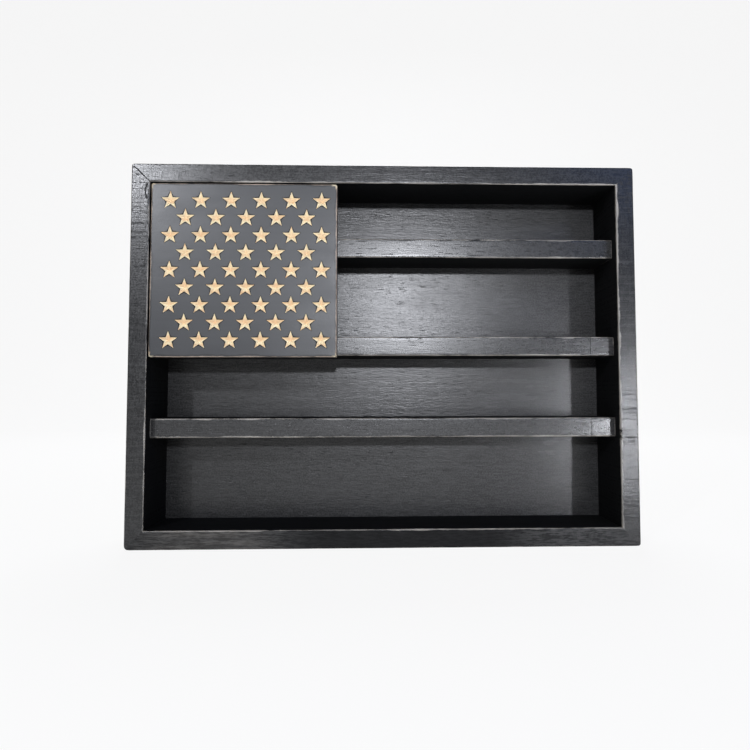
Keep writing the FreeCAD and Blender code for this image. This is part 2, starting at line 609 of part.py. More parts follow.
def shelf_end_seats():
    """Heads of the nails that hold the shelves, driven in from both sides."""
    seats = []
    for y, z in pairs(SHELF_NAIL_Y, [level for name, level in SHELVES]):
        seats.append(("-" + SIDE_HEAD, y, z, RIGHTWARD))
        seats.append((SIDE_HEAD, y, z, LEFTWARD))
    return seats


def back_seats():
    """Heads of the nails that hold the back, driven in from all four sides."""
    seats = []
    for x in BACK_NAIL_X:
        seats.append((x, BACK_MIDDLE, "Sizes.nail_set", UPWARD))
        seats.append((x, BACK_MIDDLE, TOP_HEAD, DOWNWARD))
    for z in BACK_NAIL_Z:
        seats.append(("-" + SIDE_HEAD, BACK_MIDDLE, z, RIGHTWARD))
        seats.append((SIDE_HEAD, BACK_MIDDLE, z, LEFTWARD))
    return seats


def shelf_rear_seats():
    """Heads of the nails driven through the back into the shelves."""
    head = "(%s - Sizes.nail_set)" % REAR
    return [(x, head, z, FORWARD) for x, z in pairs(REAR_NAIL_X, [level for name, level in SHELVES])]


def dowel_seats():
    return [(x, DOWEL_FRONT, z, BACKWARD) for x, z in pairs(DOWEL_X, (UPPER_LEVEL, MIDDLE_LEVEL))]


def screw_seats():
    heights = ["%s %s %s" % (HANGER_MIDDLE, sign, SCREW_REACH) for sign in "+-"]
    return [(x, REAR, z, FORWARD) for x, z in pairs((SIDE_MIDDLE, "-" + SIDE_MIDDLE), heights)]


def write_parts():
    """Check every object, then write each piece under its own name."""
    for item in doc.Objects:
        if "Invalid" in item.State or "Error" in item.State:
            raise RuntimeError("%s failed: %s" % (item.Name, item.State))
    for piece in pieces:
        if piece.Shape.isNull() or not piece.Shape.isValid():
            raise RuntimeError("%s has no valid shape" % piece.Label)
    os.makedirs("parts", exist_ok=True)
    for piece in pieces:
        piece.Shape.exportStep("parts/%s.step" % piece.Label)


make_sheet()
level_board("frame_top_board", "Sizes.case_height", DOWNWARD)
level_board("frame_bottom_board", "0", UPWARD)
side_board("frame_left_board", -1, RIGHTWARD)
side_board("frame_right_board", 1, LEFTWARD)
back_panel()
for shelf_name, shelf_level in SHELVES:
    shelf(shelf_name, shelf_level, carries_panel=shelf_level != LOWER_LEVEL)
star_panel()
group("star_panel_dowels", dowel(), dowel_seats())
frame_nail = nail("frame_nail", "Sizes.frame_nail_length")
group("corner_nails", frame_nail, corner_seats())
group("shelf_end_nails", frame_nail, shelf_end_seats())
group("back_panel_nails", frame_nail, back_seats())
group("shelf_rear_nails", nail("rear_nail", "Sizes.rear_nail_length"), shelf_rear_seats())
hanger_plate("left_hanger_plate", -1)
hanger_plate("right_hanger_plate", 1)
group("hanger_screws", plate_screw(), screw_seats())
doc.recompute()
write_parts()
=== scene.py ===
import math
from collections import namedtuple
from functools import partial, partialmethod, wraps

import bmesh
import bpy
from bmesh.types import BMEdge, BMFace, BMVert
from bpy.props import FloatProperty, FloatVectorProperty, PointerProperty
from mathutils import Matrix, Vector, noise


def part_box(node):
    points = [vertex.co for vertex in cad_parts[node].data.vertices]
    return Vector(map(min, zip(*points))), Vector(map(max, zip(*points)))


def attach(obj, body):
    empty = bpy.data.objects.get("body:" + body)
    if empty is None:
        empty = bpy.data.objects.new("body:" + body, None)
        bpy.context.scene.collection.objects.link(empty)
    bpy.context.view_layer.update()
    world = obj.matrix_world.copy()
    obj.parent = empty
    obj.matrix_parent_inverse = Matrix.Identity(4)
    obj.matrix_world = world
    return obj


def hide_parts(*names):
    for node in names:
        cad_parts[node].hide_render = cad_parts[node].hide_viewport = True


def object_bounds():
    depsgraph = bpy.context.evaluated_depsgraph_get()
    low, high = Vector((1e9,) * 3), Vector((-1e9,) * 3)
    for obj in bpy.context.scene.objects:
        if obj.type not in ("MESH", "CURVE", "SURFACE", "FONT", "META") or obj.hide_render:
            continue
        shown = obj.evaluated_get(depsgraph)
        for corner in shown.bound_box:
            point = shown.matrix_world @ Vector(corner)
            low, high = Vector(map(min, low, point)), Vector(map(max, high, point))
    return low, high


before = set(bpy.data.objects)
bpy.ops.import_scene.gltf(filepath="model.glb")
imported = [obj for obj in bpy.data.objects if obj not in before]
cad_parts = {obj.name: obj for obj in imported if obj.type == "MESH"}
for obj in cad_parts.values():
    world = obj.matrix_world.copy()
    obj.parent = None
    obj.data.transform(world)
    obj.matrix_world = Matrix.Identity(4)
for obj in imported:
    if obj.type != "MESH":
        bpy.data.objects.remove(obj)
CAD_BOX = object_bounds()

bl_info = {
    "name": "Flag Layout Display Shelf",
    "version": (1, 0, 0),
    "blender": (4, 5, 0),
    "location": "3D View > Sidebar > Display Shelf",
    "description": "Finishes the display shelf: rubbed black paint, carved stars, hangers and a plain studio",
    "category": "Object",
}

MM = 0.001
X_AXIS = Vector((1, 0, 0))
Y_AXIS = Vector((0, 1, 0))
Z_AXIS = Vector((0, 0, 1))
SIDES = (Z_AXIS, -Z_AXIS, X_AXIS, -X_AXIS)
BODY = "root"

# Pieces of the case, with the way to the inside from each outer board and how much its inner edge is rubbed
OUTER_BOARDS = {
    "frame_top_board": (-Z_AXIS, 0.85),
    "frame_bottom_board": (Z_AXIS, 0.75),
    "frame_left_board": (X_AXIS, 0.7),
    "frame_right_board": (-X_AXIS, 1.5),
}
SHELVES = ("upper_shelf", "middle_shelf", "lower_shelf")
JOINTED_SHELVES = ("middle_shelf", "lower_shelf")
NAILS = ("corner_nails", "shelf_end_nails", "back_panel_nails", "shelf_rear_nails")
HANGER_PLATES = ("left_hanger_plate", "right_hanger_plate")

# Places read from the CAD parts in model.glb
CASE_LOW, CASE_HIGH = CAD_BOX
CASE_MIDDLE = (CASE_LOW + CASE_HIGH) / 2
CASE_FRONT = CASE_LOW.y
SHELF_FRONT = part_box("upper_shelf")[0].y
BACK_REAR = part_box("back_panel")[1].y
PANEL_LOW, PANEL_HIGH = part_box("star_panel")

# Mesh work: lengths in metres, shares of a length, parts of a unit normal
MERGE_REACH = 0.002 * MM
ON_PLANE = 0.01 * MM
FRONT_BAND = 4.0 * MM
WEAR_REACH = 2.4 * MM
CUT_STEP = 5.0 * MM
SHARP_ANGLE = math.radians(38)
SAG_LENGTH = 28.0 * MM
SAG_LEVEL = 0.35
SAG_SWING = 0.9
NICK_LENGTH = 7.0 * MM
NICK_LEVEL = 0.22
NICK_SWING = 1.8
NICK_ROW = 5.0
CORNER_CUTS = (1.0 * MM, 2.2 * MM, 4.0 * MM, 6.0 * MM)
CORNER_REACH = 6.0 * MM
SEAM_DEPTH = 0.6 * MM
SEAM_SPAN = 22.0 * MM
JOINT_HALF = 0.35 * MM
JOINT_DEPTH = 1.8 * MM
JOINT_MIDDLE_DEPTH = 1.4 * MM
JOINT_HALF_HEIGHT = 9.0 * MM
STAR_CLEAR = 4.0 * MM
STAR_TIP_OUTLINE = 1.08
STAR_NOTCH_OUTLINE = 1.35
STAR_TIP_SHARE = 0.7
OUTLINE_SLOT = 2
SHELF_END_EASE = 0.7 * MM
SHELF_END_CUT = 1.0 * MM
CARVED_BELOW = 0.02 * MM
CARVED_TILT = -0.2
INNER_FACING = 0.65
FRONT_FACING = -0.8
FAR_SIDE = 50.0 * MM
RECESS_ARM = 1.7 * MM
RECESS_HALF = 0.45 * MM
RECESS_DEPTH = 0.9 * MM
RECESS_TAPER = 0.6
SCREW_FIT = 0.97

# Seeds of the uneven wear
OUTER_EDGE_SEED = 10
SHELF_SEED = 20
UPPER_EDGE_SEED = 5
PANEL_SEED = 40

# Finish of the paint, wood and steel
PAINT_RELIEF = 0.12 * MM
FINE_RELIEF = 0.05 * MM
STEEL_RELIEF = 0.01 * MM
Finish = namedtuple("Finish", "roughness gloss coat relief speckle", defaults=(PAINT_RELIEF, 0.6))
SATIN = Finish(roughness=0.20, gloss=0.41, coat=0.85)
LOW_SATIN = Finish(roughness=0.20, gloss=0.15, coat=1.0, speckle=0.15)
BACK_SATIN = Finish(roughness=0.22, gloss=0.44, coat=0.85)
SHELF_SATIN = Finish(roughness=0.22, gloss=0.56, coat=0.75, relief=FINE_RELIEF)
DULL = Finish(roughness=0.75, gloss=0.10, coat=0.0)
GrainRun = namedtuple("GrainRun", "turn shift sawn")
LEVEL = (0, 0, 0)
UPRIGHT = (0, math.pi / 2, 0)
INWARD = (0, 0, math.pi / 2)
BOARD_SHIFT = (0.37, 0.11, 0.23)
SHELF_SHIFT = (0.31, 0.17, 0.05)
BACK_SHIFT = (3.1, 1.7, 2.3)
PLAIN_GLOSS = 0.5
PANEL_GLOSS = 0.6
OUTLINE_GLOSS = 0.1
RUBBED_ROUGHNESS = 0.5
CHIP_ROUGHNESS = 0.8
VENEER_ROUGHNESS = 0.7
BARE_ROUGHNESS = 0.65
COAT_ROUGHNESS = 0.5
PORE_HEIGHT = -0.6
PORE_BLACK = (0.001, 0.001, 0.001, 1.0)
KNOT_PLACE = Vector((-0.2435, CASE_FRONT, 0.3628))
KNOT_REACH = Vector((0.0019, 0.01, 0.0066))
CALM_STRETCH = (22 * MM, 80 * MM, 150 * MM)
# Painted sheen streaks on the bottom board: their middle, and how far from it they are whole and gone
PAINTED_SHEEN_STRETCH = (-175 * MM, 20 * MM, 85 * MM)
CHIP_LEVELS = (116.7 * MM, 109.6 * MM)
CHIP_REACH = 2.7 * MM
CHIP_HALF = 1.3 * MM
CHIP_DEPTH = 1.8 * MM
UNSANDED_END = 5.0 * MM
SANDED_FROM = 8.0 * MM
BARE_FROM = 0.4 * MM
BARE_WHOLLY = 0.2 * MM
# Depths over which the painted shade on the stars' downward facets grows to full strength
STAR_SHADE_FROM = 0.2 * MM
STAR_SHADE_WHOLLY = 1.8 * MM
NAIL_PAINT = 0.55
HANGER_PAINT = 0.2

# Studio
DAYLIGHT = (0.92, 0.94, 1.0)
COOL_SKY = (0.24, 0.43, 1.0)
WHITE = (1.0, 1.0, 1.0, 1.0)
SWEEP_COLOUR = (0.9, 0.9, 0.9, 1.0)
SWEEP_GLOW = 0.9
SWEEP_HALF_WIDTH = 15.0
SWEEP_FRONT = -15.0
SWEEP_BACK = 2.5
SWEEP_TURN = 1.2
SWEEP_STEPS = 16
SWEEP_RISE = 5.0
RIGHT_BEAM = (Vector((0.24, CASE_FRONT, 0.16)), math.radians(70))
REAR_AIM = Vector((0.0, 1.7, 0.0))
PLAIN_LAMP = (CASE_MIDDLE, math.pi, DAYLIGHT)
Lamp = namedtuple("Lamp", "name power place size aim spread colour", defaults=PLAIN_LAMP)
SENSOR_WIDTH = 36.0
CAMERA_SHIFT = (-0.0345, -0.0355)

# Kinds of property
ColourProperty = partial(FloatVectorProperty, subtype="COLOR", size=3, min=0.0, max=1.0)
LengthProperty = partial(FloatProperty, subtype="DISTANCE", unit="LENGTH", min=0.0)
PowerProperty = partial(FloatProperty, subtype="POWER", unit="POWER", min=0.0)


class CasePaint(bpy.types.PropertyGroup):
    """Colours and sheen of the painted and bare wood."""

    black: ColourProperty(
        name="Black paint", default=(0.0045, 0.0047, 0.0053),
        description="Satin paint of the boards, shelves and back",
    )
    charcoal: ColourProperty(
        name="Charcoal paint", default=(0.030, 0.032, 0.035), description="Matt paint of the star panel",
    )
    bare_wood: ColourProperty(
        name="Bare wood", default=(1.0, 0.89, 0.60),
        description="Pale wood of the carved stars and the dowels",
    )
    # Also the colour of the painted shade on the stars' downward facets
    bare_grain_and_shade: ColourProperty(
        name="Bare wood grain", default=(0.88, 0.60, 0.34), description="Darker grain of the bare wood",
    )
    veneer: ColourProperty(
        name="Bare veneer", default=(0.62, 0.46, 0.29), description="Unpainted rear of the plywood back",
    )
    veneer_figure: ColourProperty(
        name="Veneer figure", default=(0.47, 0.31, 0.17),
        description="Darker figure of the unpainted veneer",
    )
    # Also the colour of the painted sheen streaks on the bottom board
    rubbed: ColourProperty(
        name="Rubbed edges", default=(0.50, 0.46, 0.40),
        description="Thin paint over wood where the edges are rubbed",
    )
    panel_rim: ColourProperty(
        name="Rubbed panel rim", default=(0.58, 0.45, 0.34),
        description="Thin paint over wood round the star panel",
    )
    matt: FloatProperty(
        name="Matt roughness", default=0.34, description="Roughness of the star panel's paint",
        subtype="FACTOR", min=0.05, max=1.0,
    )
    steel: ColourProperty(
        name="Zinc", default=(0.56, 0.57, 0.58), description="Zinc-plated steel of the hangers and nails",
    )


class CaseWear(bpy.types.PropertyGroup):
    """How far the edges are rubbed through and worn down."""

    board_reach: LengthProperty(
        name="Board edges", default=1.9 * MM,
        description="Width of bare wood along the outer boards' inner front edges",
    )
    outer_reach: LengthProperty(
        name="Outer edges", default=0.8 * MM,
        description="Width of thin paint along the outer boards' outer front edges",
    )
    shelf_reach: LengthProperty(
        name="Shelf edges", default=1.7 * MM,
        description="Width of bare wood along the shelves' front edges",
    )
    panel_reach: LengthProperty(
        name="Star panel edges", default=1.3 * MM, description="Width of bare wood round the star panel",
    )
    edge_depth: LengthProperty(
        name="Edge wear", default=0.35 * MM, description="Depth to which the worn edges are sanded down",
    )
    corner_depth: LengthProperty(
        name="Corner wear", default=0.5 * MM, description="Depth to which the case's corners are worn down",
    )
    knocked_depth: LengthProperty(
        name="Knocked corner", default=1.6 * MM,
        description="Depth to which the case's lower left corner is worn down",
    )
    open_seam: LengthProperty(
        name="Open mitre", default=0.8 * MM,
        description="Half width of the seam at the upper left mitre, which the paint doesn't close",
    )
    closed_seam: LengthProperty(
        name="Closed mitres", default=0.03 * MM,
        description="Half width of the seams at the other three mitres",
    )
    joint_place: LengthProperty(
        name="Shelf joint", default=24.9 * MM,
        description="Distance of the glued joint in two of the shelves from their right ends",
    )


class CaseStudio(bpy.types.PropertyGroup):
    """Camera and lights."""

    camera_place: FloatVectorProperty(
        name="Camera place", default=(-0.0104, -0.8034, 0.1520), description="Where the camera stands",
        subtype="TRANSLATION", unit="LENGTH", size=3,
    )
    camera_turn: FloatVectorProperty(
        name="Camera turn", description="How the camera is turned",
        default=(math.radians(93.711), math.radians(0.103), math.radians(-1.984)),
        subtype="EULER", unit="ROTATION", size=3,
    )
    camera_lens: FloatProperty(
        name="Lens", default=35.73, description="Focal length in millimetres on a sensor 36 mm wide",
        subtype="DISTANCE_CAMERA", min=1.0,
    )
    main_power: PowerProperty(
        name="Main lamp", default=15.0, description="Power of the lamp above the camera, in watts",
    )
    right_power: PowerProperty(
        name="Right lamp", default=0.265, description="Power of the near lamp on the right, in watts",
    )
    left_power: PowerProperty(
        name="Left lamp", default=13.5, description="Power of the lamp on the upper left, in watts",
    )
    sky_power: PowerProperty(
        name="Cool lamp", default=2.6,
        description="Power of the broad cool lamp on the upper right, in watts",
    )
    rear_power: PowerProperty(
        name="Rear lamp", default=55.0,
        description="Power of the broad lamp above and behind the case, in watts",
    )
    room_light: FloatProperty(
        name="Room light", default=0.06, description="Strength of the even light from all round", min=0.0,
    )


class Graph:
    """Short forms for the nodes of one material or node group."""

    def __init__(self, tree):
        self.tree = tree

    def add(self, kind, **settings):
        node = self.tree.nodes.new(kind)
        for name, value in settings.items():
            setattr(node, name, value)
        return node

    def feed(self, socket, value):
        if isinstance(value, bpy.types.NodeSocket):
            self.tree.links.new(value, socket)
        else:
            socket.default_value = value

    def place(self, kind, values, **settings):
        """Add a node, feed its inputs by number or name, and give back its outputs."""
        node = self.add(kind, **settings)
        for key, value in values.items():
            self.feed(node.inputs[key], value)
        return node.outputs

    def math(self, operation, *values):
        return self.place("ShaderNodeMath", dict(enumerate(values)), operation=operation)[0]

    times = partialmethod(math, "MULTIPLY")
    minus = partialmethod(math, "SUBTRACT")
    muladd = partialmethod(math, "MULTIPLY_ADD")
    most = partialmethod(math, "MAXIMUM")
    least = partialmethod(math, "MINIMUM")

    def total(self, base, *parts):
        """A base with shares of other values added to it."""
        for value, share in parts:
            base = self.muladd(value, share, base)
        return base

    def vector(self, operation, *values, result="Vector"):
        return self.place("ShaderNodeVectorMath", dict(enumerate(values)), operation=operation)[result]

    measure = partialmethod(vector, result="Value")

    def axes(self, vector):
        """X, Y and Z of a vector."""
        return self.place("ShaderNodeSeparateXYZ", {0: vector})

    def mapped(self, vector, scale=(1, 1, 1), turn=(0, 0, 0), shift=(0, 0, 0)):
        values = {"Vector": vector, "Location": shift, "Rotation": turn, "Scale": scale}
        return self.place("ShaderNodeMapping", values)["Vector"]

    def noise(self, vector, scale, detail=2.0, roughness=0.5):
        values = {"Vector": vector, "Scale": scale, "Detail": detail, "Roughness": roughness}
        return self.place("ShaderNodeTexNoise", values)["Fac"]

    def drawn_noise(self, vector, scale, detail=2.0, roughness=0.5):
        """Noise with a scale of its own along each axis."""
        return self.noise(self.mapped(vector, scale), 1.0, detail, roughness)

    def remap(self, value, low, high, start=0.0, end=1.0):
        """A smooth step from one value to another."""
        values = {"Value": value, "From Min": low, "From Max": high, "To Min": start, "To Max": end}
        return self.place("ShaderNodeMapRange", values, interpolation_type="SMOOTHSTEP")["Result"]

    def mix(self, factor, first, second):
        """A number between two numbers."""
        return self.place("ShaderNodeMix", {0: factor, 2: first, 3: second}, data_type="FLOAT")[0]

    def blend(self, factor, first, second):
        """A colour between two colours."""
        return self.place("ShaderNodeMix", {0: factor, 6: first, 7: second}, data_type="RGBA")[2]


def build_group(layout, inputs, outputs):
    """A shader node group with named sockets, laid out by a function."""
    tree = bpy.data.node_groups.new(layout.__name__, "ShaderNodeTree")
    for socket in inputs:
        kind = "NodeSocketFloat" if socket == "Reach" else "NodeSocketVector"
        tree.interface.new_socket(socket, in_out="INPUT", socket_type=kind)
    for socket in outputs:
        tree.interface.new_socket(socket, in_out="OUTPUT", socket_type="NodeSocketFloat")
    graph = Graph(tree)
    given = graph.add("NodeGroupInput").outputs[:len(inputs)]
    result = graph.add("NodeGroupOutput")
    for socket, value in zip(result.inputs, layout(graph, *given)):
        graph.feed(socket, value)
    return tree


def shared_group(inputs, outputs):
    """Turn a layout of nodes into a group that is built once and placed wherever it is called for."""

    def wrap(layout):
        @wraps(layout)
        def placed(graph, *values):
            tree = bpy.data.node_groups.get(layout.__name__) or build_group(layout, inputs, outputs)
            return graph.place("ShaderNodeGroup", dict(enumerate(values)), node_tree=tree)

        return placed

    return wrap


@shared_group(("Vector",), ("Fibre", "Rings", "Pores"))
def wood_grain(graph, vector):
    """Fibres, growth rings and open pores of a board whose grain runs along X."""
    fibre = graph.drawn_noise(vector, (105, 800, 800), 3.0, 0.65)
    sway = graph.drawn_noise(vector, (2.5, 16, 16), 2.0)
    across = graph.measure("DOT_PRODUCT", vector, (0, 0.7, 1))
    phase = graph.muladd(across, 700.0, graph.times(sway, 24.0))
    rings = graph.muladd(graph.math("SINE", phase), 0.5, 0.5)
    dashes = graph.drawn_noise(vector, (80, 1100, 1100), 1.0)
    crowd = graph.remap(graph.drawn_noise(vector, (12, 30, 30), 2.0), 0.4, 0.7, 0.0, 0.08)
    pores = graph.remap(graph.math("ADD", dashes, crowd), 0.70, 0.76)
    return fibre, rings, pores


@shared_group(("Vector",), ("Lines", "Nicks"))
def saw_marks(graph, vector):
    """Fine lines that a blade left across a board whose grain runs along X, and broken rows of nicks."""
    lines = graph.drawn_noise(vector, (700, 60, 60), 2.0, 0.6)
    rows = graph.remap(graph.drawn_noise(vector, (380, 4, 4), 1.0), 0.54, 0.62)
    patch = graph.remap(graph.drawn_noise(vector, (14, 9, 9)), 0.34, 0.54)
    dots = graph.remap(graph.drawn_noise(vector, (260, 380, 380), 1.0), 0.42, 0.58, 0.0, 0.8)
    nicks = graph.times(graph.times(rows, patch), dots)
    return lines, nicks


@shared_group(("Vector",), ("Figure",))
def veneer_figure(graph, vector):
    """Flowing figure of a rotary-cut veneer whose grain runs along X."""
    flow = graph.drawn_noise(vector, (1.6, 1.0, 8.5), 3.0, 0.45)
    bands = graph.muladd(graph.math("SINE", graph.times(flow, 75.0)), 0.5, 0.5)
    late = graph.math("POWER", bands, 2.5)
    fine = graph.drawn_noise(vector, (9, 400, 420), 4.0, 0.6)
    return (graph.muladd(late, 0.55, graph.times(fine, 0.6)),)


@shared_group(("Vector",), ("Broad", "Streaks", "Speckle"))
def smudges(graph, vector):
    """Patches and streaks where the sheen of the paint changes, and its fine speckle."""
    broad = graph.remap(graph.drawn_noise(vector, (9, 26, 26), 3.0, 0.6), 0.40, 0.66)
    streaks = graph.drawn_noise(vector, (14, 260, 260), 3.0)
    speckle = graph.noise(vector, 620.0, 2.0, 0.6)
    return broad, streaks, speckle


@shared_group(("Vector", "Low", "High", "Reach"), ("Mask", "Corner", "Border"))
def rubbed_edges(graph, vector, low, high, reach):
    """Where the edges between the planes of a box are rubbed, as wide as Reach and uneven, its corners
    and the border just inside the rubbed edges."""
    from_low = graph.vector("SUBTRACT", vector, low)
    from_high = graph.vector("SUBTRACT", high, vector)
    x, y, z = graph.axes(graph.vector("MINIMUM", from_low, from_high))
    smaller = graph.least(x, y)
    larger = graph.most(x, y)
    distance = graph.most(smaller, graph.least(larger, z))
    furthest = graph.most(larger, z)
    wander = graph.remap(graph.noise(vector, 30.0, 4.0, 0.65), 0.36, 0.68, 0.45, 1.25)
    width = graph.times(reach, wander)
    share = graph.math("DIVIDE", distance, width)
    mask = graph.remap(share, 0.6, 1.1, 1.0, 0.0)
    border = graph.times(graph.remap(share, 1.2, 1.5), graph.remap(share, 2.0, 2.6, 1.0, 0.0))
    tip = graph.math("DIVIDE", furthest, graph.times(width, 6.0))
    spread = graph.math("DIVIDE", distance, graph.times(width, 2.2))
    corner = graph.remap(graph.most(tip, spread), 0.5, 1.1, 1.0, 0.0)
    return mask, corner, border


class Surface(Graph):
    """The nodes of one material, with its shader's sockets and its place on the object."""

    def __init__(self, name):
        self.material = bpy.data.materials.new(name)
        self.material.use_nodes = True
        super().__init__(self.material.node_tree)
        self.sockets = self.tree.nodes["Principled BSDF"].inputs
        self.spot = self.add("ShaderNodeTexCoord").outputs["Object"]

    def dress(self, colour, roughness, height, relief, gloss=PLAIN_GLOSS):
        """Feed the shader its colour, roughness and relief, set its gloss and give back the material."""
        bump = self.place("ShaderNodeBump", {"Height": height, "Strength": 1.0, "Distance": relief})
        for name, value in (("Base Color", colour), ("Roughness", roughness), ("Normal", bump["Normal"])):
            self.feed(self.sockets[name], value)
        self.sockets["Specular IOR Level"].default_value = gloss
        return self.material


def rgba(colour, share=1.0):
    """A share of a colour, as a socket takes it."""
    return (*(share * part for part in colour), 1.0)


def bare_colour(graph, paint, grain):
    """Pale wood with darker grain."""
    tone = graph.muladd(grain["Fibre"], 0.7, graph.times(grain["Rings"], 0.3))
    return graph.blend(graph.remap(tone, 0.35, 0.8), rgba(paint.bare_wood), rgba(paint.bare_grain_and_shade))


def worn_paint(graph, patches, edges, ends):
    """How thin the paint is along rubbed edges, strong in some stretches and faint in others."""
    rubbed = 0.0
    for low, high, reach in edges:
        mask = rubbed_edges(graph, graph.spot, low, high, reach)["Mask"]
        rubbed = graph.most(mask, rubbed)
    fine = graph.remap(patches["Streaks"], 0.3, 0.7, 0.5, 1.0)
    stretches = graph.remap(patches["Broad"], 0.0, 1.0, 0.55, 1.0)
    thin = graph.times(rubbed, graph.times(fine, stretches))
    if ends:
        thin = graph.times(thin, clear_of_ends(graph, *ends))
    return thin


def clear_of_ends(graph, start, end):
    """Little at the ends of a shelf, where the boards kept the sander off, and all of it elsewhere."""
    along = graph.axes(graph.spot)["X"]
    nearest = graph.least(graph.minus(along, start), graph.minus(end, along))
    return graph.remap(nearest, UNSANDED_END, SANDED_FROM, 0.3, 1.0)


def stretch(graph, middle, near, far, within, beyond):
    """One value near a place along a level board, and another further away."""
    distance = graph.math("ABSOLUTE", graph.minus(graph.axes(graph.spot)["X"], middle))
    return graph.remap(distance, near, far, within, beyond)


def broken_chip(graph, centre):
    """Ragged dark patch where a chip broke out of an edge."""
    ragged = graph.minus(graph.noise(graph.spot, 520.0, 3.0, 0.6), 0.5)
    reach = graph.muladd(ragged, 3.0 * CHIP_REACH, graph.measure("DISTANCE", graph.spot, centre))
    return graph.remap(reach, 0.75 * CHIP_REACH, CHIP_REACH, 1.0, 0.0)


def painted_wood(
    name, paint, finish, run, edges=(), ends=None, knot=None, chips=(), calm=None, bare_rear=None,
):
    """Black paint over grain, thin where the edges are rubbed. Some boards have a knot, chips, or a calm
    stretch with painted sheen streaks beside it, and the back is bare behind a plane."""
    graph = Surface(name)
    along = graph.mapped(graph.spot, turn=run.turn, shift=run.shift)
    grain = wood_grain(graph, along)
    patches = smudges(graph, along)
    thin = worn_paint(graph, patches, edges, ends)
    if calm:
        # Painted sheen: pale streaks along the grain beside the calm stretch, drawn into the thin paint so
        # they take the rubbed colour.
        streaks = graph.remap(graph.mix(0.65, grain["Fibre"], patches["Streaks"]), 0.42, 0.62, 0.05, 0.15)
        streaks = graph.times(streaks, stretch(graph, *PAINTED_SHEEN_STRETCH, 1.0, 0.0))
        thin = graph.most(thin, streaks)
    flaws = grain["Pores"]
    if knot:
        flaws = graph.most(flaws, knot_hook(graph, *knot))
    gaps = [flaws]

    film = graph.blend(grain["Fibre"], rgba(paint.black, 0.6), rgba(paint.black, 1.4))
    film = graph.blend(graph.times(flaws, 0.8), film, PORE_BLACK)
    colour = graph.blend(thin, film, rgba(paint.rubbed))
    sheen = graph.total(finish.roughness, (patches["Broad"], 0.03), (patches["Streaks"], 0.05), (flaws, 0.30))
    sheen = graph.mix(thin, sheen, RUBBED_ROUGHNESS)
    raised = ((patches["Speckle"], 0.32), (grain["Rings"], 0.12), (flaws, PORE_HEIGHT))
    height = graph.total(grain["Fibre"], *raised)
    if run.sawn:
        marks = saw_marks(graph, along)
        height = graph.total(height, (marks["Lines"], 0.4), (marks["Nicks"], -0.13))
        sheen = graph.total(sheen, (marks["Nicks"], 0.4), (graph.minus(patches["Speckle"], 0.5), 0.2))
        gaps.append(marks["Nicks"])
    for centre in chips:
        broken = broken_chip(graph, centre)
        colour = graph.blend(broken, colour, PORE_BLACK)
        sheen = graph.mix(broken, sheen, CHIP_ROUGHNESS)
        gaps.append(broken)
    if bare_rear is not None:
        bare = bare_behind(graph, patches, bare_rear)
        figure = veneer_figure(graph, along)["Figure"]
        veneer = graph.blend(graph.remap(figure, 0.2, 0.9), rgba(paint.veneer), rgba(paint.veneer_figure))
        colour = graph.blend(bare, colour, veneer)
        sheen = graph.mix(bare, sheen, VENEER_ROUGHNESS)
        gaps.append(bare)

    if finish.coat:
        tone = graph.mix(finish.speckle, grain["Fibre"], patches["Speckle"])
        if run.sawn:
            tone = graph.mix(0.3, tone, marks["Lines"])
        cover = graph.remap(tone, 0.40, 0.60, 0.3 * finish.coat, finish.coat)
        for gap in gaps:
            cover = graph.times(cover, graph.minus(1.0, gap))
        if calm:
            cover = graph.times(cover, stretch(graph, *calm, 0.15, 1.0))
        graph.feed(graph.sockets["Coat Weight"], cover)
        graph.sockets["Coat Roughness"].default_value = COAT_ROUGHNESS
    return graph.dress(colour, sheen, height, finish.relief, finish.gloss)


def bare_behind(graph, patches, rear):
    """Bare wood on the rear face, with some overspray on it."""
    behind = graph.remap(graph.axes(graph.spot)["Y"], rear - BARE_FROM, rear - BARE_WHOLLY)
    clean = graph.remap(patches["Broad"], 0.0, 0.5, 0.96, 1.0)
    return graph.times(behind, clean)


def knot_hook(graph, centre, reach):
    """Dark hook beside a small knot: the left half of a ring."""
    offset = graph.vector("DIVIDE", graph.vector("SUBTRACT", graph.spot, centre), reach)
    left = graph.remap(graph.axes(offset)["X"], 0.0, 0.5, 1.0, 0.0)
    wave = graph.math("ABSOLUTE", graph.minus(graph.measure("LENGTH", offset), 1.0))
    return graph.times(left, graph.remap(wave, 0.1, 0.45, 1.0, 0.0))


def panel_paint(paint, low, high, reach):
    """Matt charcoal of the star panel, rubbed round its edges and bare at its corners."""
    graph = Surface("charcoal_star_panel")
    grain = wood_grain(graph, graph.spot)
    patches = smudges(graph, graph.spot)
    edges = rubbed_edges(graph, graph.spot, low, high, reach)
    thin = graph.times(edges["Mask"], graph.remap(patches["Streaks"], 0.3, 0.7, 0.6, 0.9))
    film = graph.blend(patches["Streaks"], rgba(paint.charcoal, 0.85), rgba(paint.charcoal, 1.15))
    film = graph.blend(graph.times(edges["Border"], 0.85), film, rgba(paint.black))
    film = graph.blend(thin, film, rgba(paint.panel_rim))
    bare = graph.times(edges["Corner"], graph.remap(patches["Broad"], 0.0, 1.0, 0.35, 0.75))
    colour = graph.blend(bare, film, bare_colour(graph, paint, grain))
    sheen = graph.mix(bare, graph.muladd(patches["Broad"], 0.06, paint.matt), BARE_ROUGHNESS)
    height = graph.muladd(grain["Fibre"], 0.4, graph.times(patches["Speckle"], 0.5))
    return graph.dress(colour, sheen, height, PAINT_RELIEF, PANEL_GLOSS)


